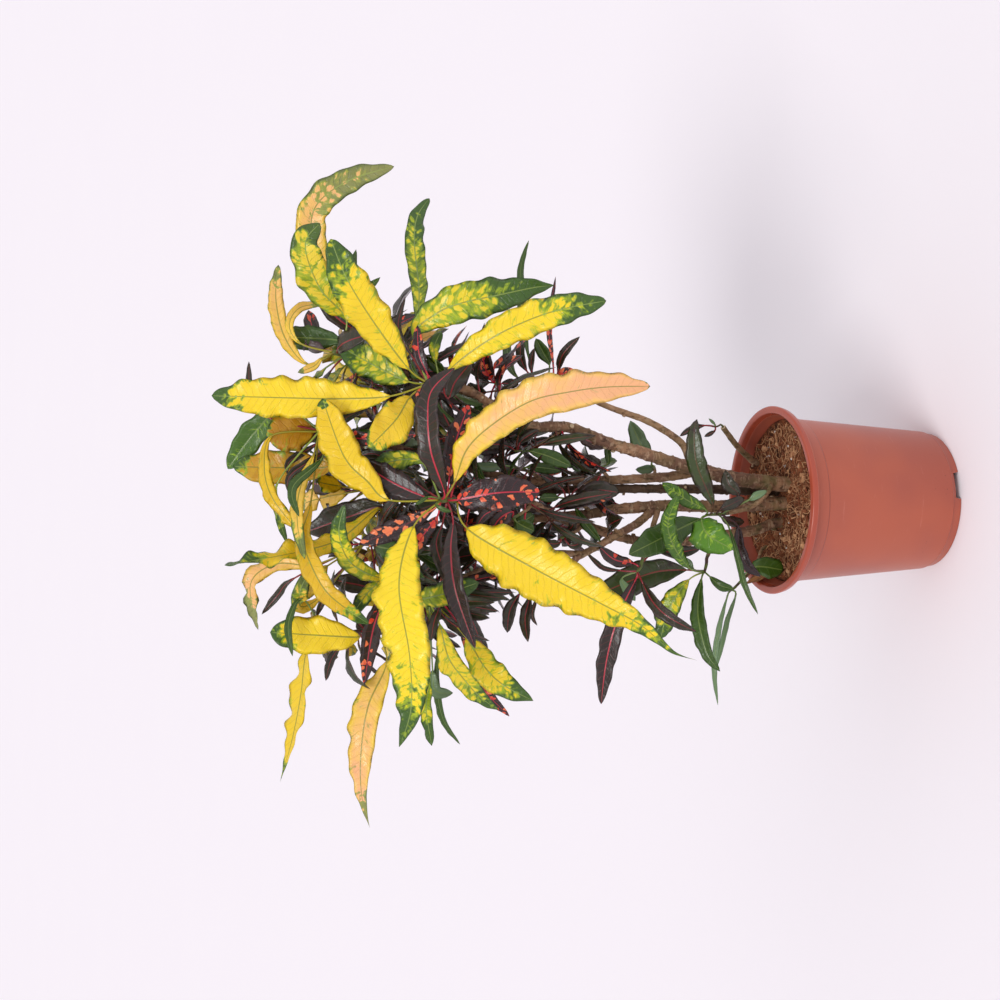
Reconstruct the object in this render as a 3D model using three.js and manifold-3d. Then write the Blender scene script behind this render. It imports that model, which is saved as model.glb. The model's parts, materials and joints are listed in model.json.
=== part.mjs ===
// A potted croton: a leafy bush on four woody stems in a plastic nursery pot.
// Millimetres, +Z up. The origin lies on the floor under the pot's axis, and +Y points away from the
// viewer of the front.
import * as THREE from 'three';
import { mergeVertices } from 'three/addons/utils/BufferGeometryUtils.js';
import Module from 'manifold-3d';

const wasm = await Module();
wasm.setup();

// Driving dimensions
const GAP = 0.35; // between touching pieces
const POT = {
  height: 227.6,
  rimRadius: 120,
  lipRadius: 110.5,
  bandHeight: 9.5,
  neckRadius: 106,
  neckHeight: 206,
  ledgeHeight: 197,
  ledgeDepth: 0.8,
  baseRadius: 90,
  chamferHeight: 13,
  footRadius: 87,
  footHeight: 10,
  wall: 2.2,
  floorTop: 12.5,
  facets: 28,
};
const NOTCH = { left: 3, right: 34, flare: 2, height: 8 };
const DRAIN = { count: 6, radius: 5.5, ring: 58 };
const SOIL = { level: 205, heap: 3, holeDepth: 70 };
const BLADE = { rib: 2, petiole: 1.2, tip: 0.35 }; // the tip is a part of a piece long
const CLEARANCE = { blade: 8.5, ownBlade: 6, wood: 4.5, pot: 5 };
const SAMPLE = 7; // spacing of the points that stand for a blade when its room is tested
const EYE = new THREE.Vector3(0, -2305, 1377); // where the front view is drawn from
const UP = new THREE.Vector3(0, 0, 1);
const GOLDEN = (137.508 * Math.PI) / 180;

// What the bush looks like from the front, as an outline on the upright plane through the pot's axis:
// the leaves of the far side stay inside it.
const CANOPY = [
  [-205, 665], [-235, 735], [-215, 800], [-140, 850], [-70, 885], [0, 878], [60, 890], [135, 880],
  [205, 850], [270, 815], [262, 745], [300, 700], [262, 660], [268, 590], [258, 530], [240, 480],
  [205, 560], [178, 615], [160, 545], [156, 470], [140, 430], [116, 470], [108, 540], [80, 590],
  [40, 590], [-20, 600], [-48, 575], [-75, 520], [-110, 470], [-150, 440], [-140, 520], [-112, 575],
  [-150, 600], [-190, 640],
];

// Places

// A point at its real place.
function at(x, y, z) {
  return new THREE.Vector3(x, y, z);
}

// A point given by where it is seen on the upright plane through the pot's axis, and how far it then
// stands forward of that plane along the line of sight.
function drawn([across, up, forward]) {
  return at(across, 0, up).lerp(EYE, forward / -EYE.y);
}

// Where a point is seen on that plane.
function seenAt(point) {
  return EYE.clone().lerp(point, -EYE.y / (point.y - EYE.y));
}

function insideCanopy(point) {
  const { x, z } = seenAt(point);
  let inside = false;
  CANOPY.forEach(([x1, z1], i) => {
    const [x2, z2] = CANOPY[(i + 1) % CANOPY.length];
    if (z1 > z !== z2 > z && x < ((x2 - x1) * (z - z1)) / (z2 - z1) + x1) inside = !inside;
  });
  return inside;
}

// A smooth line through a few points, walked by its length.
class Route {
  constructor(points) {
    const last = points.length - 1;
    this.dots = [];
    for (let i = 0; i < last; i++) {
      const [a, b, c, d] = [i - 1, i, i + 1, i + 2].map((k) => points[Math.min(Math.max(k, 0), last)]);
      for (let k = 0; k < 8; k++) this.dots.push(between(a, b, c, d, k / 8));
    }
    this.dots.push(points[last].clone());
    this.miles = [0];
    for (let i = 1; i < this.dots.length; i++) {
      this.miles.push(this.miles[i - 1] + this.dots[i].distanceTo(this.dots[i - 1]));
    }
    this.length = this.miles[this.miles.length - 1];
  }

  // The point at a length from the start.
  at(mile) {
    let i = 1;
    while (i < this.dots.length - 1 && this.miles[i] < mile) i++;
    const share = (mile - this.miles[i - 1]) / (this.miles[i] - this.miles[i - 1]);
    return this.dots[i - 1].clone().lerp(this.dots[i], share);
  }

  direction(mile) {
    const step = Math.min(4, this.length / 4);
    const from = Math.min(Math.max(mile - step, 0), this.length - step);
    const to = Math.max(Math.min(mile + step, this.length), step);
    return this.at(to).sub(this.at(from)).normalize();
  }
}

// The point at a share t of the way from b to c, on the smooth line that also passes a and d.
function between(a, b, c, d, t) {
  const weights = [
    (-t + 2 * t * t - t * t * t) / 2,
    (2 - 5 * t * t + 3 * t * t * t) / 2,
    (t + 4 * t * t - 3 * t * t * t) / 2,
    (-t * t + t * t * t) / 2,
  ];
  const sum = at(0, 0, 0);
  [a, b, c, d].forEach((point, i) => sum.addScaledVector(point, weights[i]));
  return sum;
}

// Solids

// A closed skin over rings of points. The quads of the two faces of a blade are split alike.
function loft(rings, tip) {
  const n = rings[0].length;
  const last = (rings.length - 1) * n;
  const faces = [];
  for (let r = 0; r < last; r += n) {
    for (let k = 0; k < n; k++) {
      const a = r + k;
      const b = r + ((k + 1) % n);
      if (k < n / 2) faces.push(a, b, b + n, a, b + n, a + n);
      else faces.push(a, b, a + n, b, b + n, a + n);
    }
  }
  for (let k = 1; k < n - 1; k++) faces.push(0, k + 1, k);
  const points = rings.flat();
  if (tip) {
    for (let k = 0; k < n; k++) faces.push(last + k, last + ((k + 1) % n), points.length);
    points.push(tip);
  } else {
    for (let k = 1; k < n - 1; k++) faces.push(last, last + k, last + k + 1);
  }
  const geometry = new THREE.BufferGeometry().setFromPoints(points);
  geometry.setIndex(faces);
  return geometry;
}

function solid(geometry) {
  const bare = geometry.clone();
  bare.deleteAttribute('normal');
  bare.deleteAttribute('uv');
  const merged = mergeVertices(bare, 1e-4);
  return new wasm.Manifold(
    new wasm.Mesh({
      numProp: 3,
      vertProperties: new Float32Array(merged.attributes.position.array),
      triVerts: new Uint32Array(merged.index.array),
    }),
  );
}

function geometryOf(body) {
  const { vertProperties, triVerts } = body.getMesh();
  const geometry = new THREE.BufferGeometry();
  geometry.setAttribute('position', new THREE.BufferAttribute(vertProperties, 3));
  geometry.setIndex(new THREE.BufferAttribute(triVerts, 1));
  return geometry;
}

// The pieces joined in one body, without any scrap that the joining leaves.
function joined(bodies) {
  const whole = bodies.reduce((sum, body) => sum.add(body));
  return whole.decompose().reduce((a, b) => (a.volume() > b.volume() ? a : b));
}

function named(name, body, { colour, roughness }) {
  const material = new THREE.MeshStandardMaterial({ color: colour, roughness, metalness: 0 });
  const mesh = new THREE.Mesh(geometryOf(body), material);
  mesh.name = name;
  return mesh;
}

// A round limb along a route, from one radius to another, with flat ends.
function limb(route, [thick, thin], sides, spacing, extra = 0) {
  const steps = Math.max(2, Math.ceil(route.length / spacing));
  let side = at(1, 0, 0);
  const rings = [];
  for (let i = 0; i <= steps; i++) {
    const mile = (route.length * i) / steps;
    const way = route.direction(mile);
    const radius = thick + ((thin - thick) * i) / steps + extra;
    const centre = route.at(mile);
    if (extra && i === 0) centre.addScaledVector(way, -extra);
    side = side.clone().addScaledVector(way, -side.dot(way)).normalize();
    const other = way.clone().cross(side);
    rings.push(
      Array.from({ length: sides }, (_, k) => {
        const turn = (k * 2 * Math.PI) / sides;
        return centre
          .clone()
          .addScaledVector(side, radius * Math.cos(turn))
          .addScaledVector(other, radius * Math.sin(turn));
      }),
    );
  }
  return solid(loft(rings));
}

// Half the width of a blade at a share of its length, as a part of its greatest half width. The higher
// the taper, the longer and thinner its tip.
function outline(share, taper) {
  const widest = 0.75 / (0.75 + taper);
  const greatest = widest ** 0.75 * (1 - widest) ** taper;
  return (share ** 0.75 * (1 - share) ** taper) / greatest;
}

// The frame of a blade at a length along its route: across it, out of its upper face, and its way.
function bladeFrame(route, mile, facing, turn) {
  const way = route.direction(mile);
  const face = facing.clone().addScaledVector(way, -facing.dot(way)).normalize();
  face.applyAxisAngle(way, (turn * Math.PI) / 180);
  return { way, face, across: face.clone().cross(way) };
}

// How far the edge of a blade stands out of the plane of its rib: its fold and its waves.
function edgeLift(leaf, share, half, hand) {
  const wave = Math.sin(2 * Math.PI * leaf.waves * share + (hand > 0 ? 0.6 : 2.1));
  return half * (leaf.fold + leaf.ruffle * wave);
}

// A leaf: a stalk from its root and a blade along the rest of its route.
function leafBody(leaf) {
  const { route, stalk } = leaf;
  const length = route.length - stalk;
  const pieces = Math.max(2, Math.round(length / leaf.step));
  const miles = [0];
  for (let i = 0; i <= pieces; i++) miles.push(stalk + (length * i) / (pieces + BLADE.tip));
  const rings = miles.map((mile) => {
    const { across, face } = bladeFrame(route, mile, leaf.facing, leaf.turn);
    const share = Math.max(0, (mile - stalk) / length);
    const grown = Math.max((leaf.wide / 2) * outline(share, leaf.taper), BLADE.petiole);
    const half = mile > 0 ? grown : leaf.pin;
    const rib = Math.min(BLADE.rib / 2, half);
    const centre = route.at(mile);
    const edge = (hand) =>
      centre
        .clone()
        .addScaledVector(across, hand * half)
        .addScaledVector(face, share > 0 ? edgeLift(leaf, share, half, hand) : 0);
    return [
      edge(1),
      centre.clone().addScaledVector(face, rib),
      edge(-1),
      centre.clone().addScaledVector(face, -rib),
    ];
  });
  return solid(loft(rings, route.at(route.length)));
}

// Room for each blade

// Points already taken, kept by the cube of space that they lie in.
const CUBE = 18;
const taken = new Map();

function cubeKey(x, y, z) {
  return (x * 4096 + y) * 4096 + z;
}

function cubeOf(point) {
  return [point.x, point.y, point.z].map((c) => Math.floor(c / CUBE) + 1024);
}

function take(samples) {
  for (const sample of samples) {
    const key = cubeKey(...cubeOf(sample.point));
    if (!taken.has(key)) taken.set(key, []);
    taken.get(key).push(sample);
  }
}

function nearTaken(sample) {
  const [cx, cy, cz] = cubeOf(sample.point);
  for (let x = cx - 1; x <= cx + 1; x++) {
    for (let y = cy - 1; y <= cy + 1; y++) {
      for (let z = cz - 1; z <= cz + 1; z++) {
        for (const other of taken.get(cubeKey(x, y, z)) ?? []) {
          if (tooNear(sample, other)) return true;
        }
      }
    }
  }
  return false;
}

function tooNear(sample, other) {
  const own = sample.node === other.node;
  if (own && !(sample.free && other.free)) return false;
  const blade = own ? CLEARANCE.ownBlade : CLEARANCE.blade;
  const room = other.radius ? other.radius + CLEARANCE.wood : blade;
  return sample.point.distanceToSquared(other.point) < room * room;
}

// A blade would touch the pot's rim or the soil.
function nearPot({ point }) {
  const radius = Math.hypot(point.x, point.y);
  if (radius > POT.rimRadius + CLEARANCE.pot) return false;
  const wallStarts = POT.lipRadius - 3 - CLEARANCE.pot;
  return point.z < (radius > wallStarts ? POT.height : SOIL.level + SOIL.heap) + CLEARANCE.pot;
}

function limbSamples(node, route, [thick, thin]) {
  const samples = [];
  const count = Math.ceil(route.length / SAMPLE);
  for (let i = 0; i <= count; i++) {
    const radius = thick + ((thin - thick) * i) / count;
    samples.push({ node, point: route.at((route.length * i) / count), radius, free: true });
  }
  return samples;
}

function bladeSamples(node, leaf) {
  const { route, stalk } = leaf;
  const samples = [];
  const count = Math.ceil(route.length / SAMPLE);
  for (let i = 2; i <= count; i++) {
    const mile = (route.length * i) / count;
    const share = Math.max(0, (mile - stalk) / (route.length - stalk));
    const half = mile > stalk ? (leaf.wide / 2) * outline(share, leaf.taper) : 0;
    const { across, face } = bladeFrame(route, mile, leaf.facing, leaf.turn);
    const rows = Math.ceil(half / SAMPLE);
    for (let row = -rows; row <= rows; row++) {
      const reach = rows ? row / rows : 0;
      const point = route.at(mile).addScaledVector(across, half * reach);
      if (row) {
        const lift = edgeLift(leaf, share, half, Math.sign(row)) * Math.abs(reach);
        point.addScaledVector(face, lift);
      }
      samples.push({ node, point, radius: 0, free: mile > stalk + 6 });
    }
  }
  return samples;
}

// Leaves

// How each kind of leaf is folded along its rib and waved along its edges.
const FORMS = {
  yellow: { fold: 0.16, ruffle: 0.12, waves: 2.5, taper: 0.8 },
  tailed: { fold: 0.16, ruffle: 0.12, waves: 3, taper: 1.5 },
  netted: { fold: 0.1, ruffle: 0.14, waves: 3, taper: 0.75 },
  peach: { fold: 0.22, ruffle: 0.08, waves: 2, taper: 0.75 },
  dark: { fold: 0.24, ruffle: 0.06, waves: 1.5, taper: 0.85 },
  spotted: { fold: 0.2, ruffle: 0.08, waves: 1.5, taper: 0.8 },
  red: { fold: 0.24, ruffle: 0.06, waves: 1.5, taper: 0.8 },
  green: { fold: 0.2, ruffle: 0.08, waves: 1.5, taper: 0.75 },
  young: { fold: 0.26, ruffle: 0.05, waves: 1, taper: 0.8 },
};

// A leaf whose blade is given by points as drawn from the front, from the blade's base to its tip. It
// faces the eye, but for its turn in degrees round its rib.
function blade(kind, wide, turn, ...points) {
  return { kind, wide, turn, points };
}

// The place on a shoot's twig that a leaf grows from: the nearest to the blade's base.
function rootOn(twig, base) {
  let best = null;
  for (let i = 3; i <= 12; i++) {
    const mile = (twig.length * i) / 12.5;
    const point = twig.at(mile);
    if (!best || point.distanceTo(base) < best.point.distanceTo(base)) best = { point, mile };
  }
  const way = twig.direction(best.mile);
  const out = base.clone().sub(best.point);
  out.addScaledVector(way, -out.dot(way)).normalize();
  return best.point.addScaledVector(out, twig.core);
}

function drawnLeaf(spec, twig, slide) {
  const last = spec.points.length - 1;
  const line = spec.points.map(([across, up, forward], i) =>
    drawn([across, up, forward + slide * (0.35 + (0.65 * i) / last)]),
  );
  const root = rootOn(twig, line[0]);
  const stalk = root.distanceTo(line[0]);
  const facing = EYE.clone().sub(line[0]).normalize().addScaledVector(UP, 0.15);
  const route = new Route([root, ...line]);
  const step = spec.wide > 32 ? 32 : 44;
  return { ...FORMS[spec.kind], ...spec, route, stalk, facing, step, pin: twig.core };
}

const SLIDES = [0, 9, -9, 18, -18, 27, -27, 36, -36, 45, -45, 54, 63, 72];

// Numbers between 0 and 1 that look random and are the same every time.
function dice(seed) {
  let state = seed;
  return () => {
    state = (state * 16807) % 2147483647;
    return state / 2147483647;
  };
}

// A leaf of the far side, by rule: it springs from the twig and arches over.
function sprungLeaf(kind, wide, root, pin, azimuth, rise, length, droop) {
  const out = at(Math.cos(azimuth), Math.sin(azimuth), 0);
  const line = [0, 0.2, 0.45, 0.72, 1].map((s) =>
    root
      .clone()
      .addScaledVector(out, length * s * Math.cos(rise) * (1 - 0.25 * droop * s))
      .addScaledVector(UP, length * (s * Math.sin(rise) - droop * s * s)),
  );
  const route = new Route(line);
  const stalk = line[0].distanceTo(line[1]);
  const facing = UP.clone().add(out);
  return { ...FORMS[kind], kind, wide, turn: 0, route, stalk, facing, step: 56, pin };
}

// The woody stems. Each limb is named for what stands on its end, has a radius at its start and one at
// its end, and follows points drawn from the front; the first limb of a stem starts in the soil.
function wood(end, radii, ...points) {
  return { end, radii, points };
}

// The buried foot of a stem and where it leaves the soil.
function foot(x, y) {
  return [at(x, y, SOIL.level - SOIL.holeDepth), at(x, y, SOIL.level)];
}

const STEMS = {
  right_stem: [
    wood('right_crown', [10.5, 4.6], ...foot(20, -7), [26, 268, 10], [34, 309, 12], [45, 355, 14],
      [58, 400, 16], [70, 446, 18], [89, 500, 20], [91, 552, 24], [113, 597, 32], [132, 628, 42],
      [137, 650, 50]),
    wood('right_mid_shoot', [4.8, 3.2], [41, 335, 13], [54, 340, 6], [72, 350, 4], [90, 378, 2],
      [101, 402, 0], [109, 428, 0], [117, 452, -4], [129, 480, -8], [138, 505, -10]),
    wood('centre_low_shoot', [3.6, 2.4], [21, 222, 8], [12, 228, 24], [-1, 240, 31], [-10, 256, 33],
      [-15, 276, 34], [-17, 288, 34]),
    wood('back_right_crown', [6, 4], [108, 588, 29], [121, 612, 12], [137, 650, -6], [148, 700, -22],
      [160, 742, -32]),
    wood('far_right_crown', [4.6, 3.6], [134, 642, -2], [133, 660, -40], [130, 680, -80],
      [128, 700, -104]),
    wood('right_upper_shoot', [2.6, 2.2], [104, 580, 28], [118, 584, 14], [130, 590, 8]),
    wood('thin_twig_shoot', [2, 1.6], [84, 513, 20], [72, 530, 22], [62, 550, 22]),
    wood('back_centre_crown', [6, 4], [37, 325, 12], [30, 360, 0], [27, 400, -6], [25, 440, -10],
      [24, 500, -16], [23, 545, -22], [31, 600, -30], [45, 655, -36], [60, 710, -38], [74, 765, -34]),
    wood('inner_shoot_a', [2.6, 2], [25, 446, -11], [32, 452, -4], [37, 458, -2]),
    wood('inner_shoot_b', [2.4, 2], [27, 392, -5], [33, 386, -16], [38, 386, -24]),
    wood('inner_shoot_c', [2.6, 2], [23.5, 535, -20], [31, 546, -12], [36, 556, -10]),
    wood('inner_shoot_d', [2.8, 2.2], [36, 620, -32], [50, 628, -22], [62, 636, -16]),
  ],
  centre_stem: [
    wood('back_left_crown', [9, 4.2], ...foot(-4, -1), [-7, 260, 2], [-8, 310, 2], [-7, 360, 2],
      [-8, 390, 0], [-12, 440, -6], [-18, 480, -12], [-22, 540, -18], [-30, 600, -24],
      [-42, 660, -28], [-48, 708, -30]),
    wood('cut_stub', [5.4, 3.8], [-8, 384, 1], [-28, 408, 10], [-44, 438, 20], [-59, 466, 24],
      [-73, 492, 24], [-90, 505, 24]),
    wood('lower_left_crown', [4.2, 3.4], [-67, 481, 24], [-66, 500, 18], [-66, 522, 12],
      [-73, 560, 4], [-82, 605, -4], [-96, 642, -4]),
    wood('left_crown', [3.8, 3.4], [-83, 606, -4], [-94, 634, -22], [-116, 672, -30],
      [-136, 706, -26], [-147, 730, -18]),
    wood('left_mid_shoot', [2.2, 1.8], [-72, 552, 6], [-84, 558, 10], [-95, 560, 12]),
    wood('left_low_shoot', [4, 2.6], [-7, 380, 1], [-20, 384, 14], [-35, 389, 23], [-50, 394, 28],
      [-64, 399, 30], [-73, 402, 30]),
    wood('inner_shoot_e', [2.6, 2], [-16, 470, -10], [-8, 480, 2], [-3, 490, 6]),
    wood('inner_shoot_f', [2.6, 2], [-24, 556, -19], [-32, 560, -6], [-38, 566, 0]),
    wood('far_left_crown', [4.6, 3.6], [-27, 580, -22], [-48, 610, -60], [-74, 640, -92],
      [-92, 664, -108]),
  ],
  dark_stem: [
    wood('far_crown', [6.6, 4], ...foot(11, 17), [13, 270, -14], [14, 330, -12], [14, 400, -12],
      [14, 450, -18], [13, 500, -32], [8, 560, -56], [4, 620, -80], [6, 680, -104], [10, 715, -114]),
    wood('far_low_left_shoot', [3.6, 3], [9, 545, -50], [-14, 575, -84], [-34, 600, -106]),
    wood('far_low_right_shoot', [3.6, 3], [11, 525, -42], [34, 570, -84], [56, 600, -112]),
  ],
  left_stem: [
    wood('front_crown', [7, 4.4], ...foot(-29, 12), [-38, 246, -8], [-43, 280, -6], [-47, 310, -4],
      [-53, 350, -2], [-52, 400, -2], [-44, 441, -4], [-33, 472, 0], [-27, 500, 6], [-14, 530, 16],
      [-2, 556, 28], [2, 590, 42], [1, 620, 56]),
    wood('left_rim_side_shoot', [3, 2.4], [-47, 306, -4], [-58, 308, 8], [-70, 313, 14]),
    wood('inner_shoot_g', [2.6, 2], [-31, 482, 2], [-38, 490, 14], [-42, 500, 18]),
    wood('inner_shoot_h', [2.6, 2], [-5, 549, 24], [-12, 556, 38], [-18, 566, 42]),
  ],
  stub_stem: [
    wood('stub_shoot', [4.4, 3.6], ...foot(49, 74), [55, 257, -68], [69, 273, -58], [82, 284, -52],
      [92, 292, -48]),
  ],
  rim_stem: [
    wood('rim_shoot', [2.6, 1.9], ...foot(-60, 48), [-76, 243, -40], [-92, 255, -26],
      [-103, 267, -12]),
  ],
};

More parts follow.
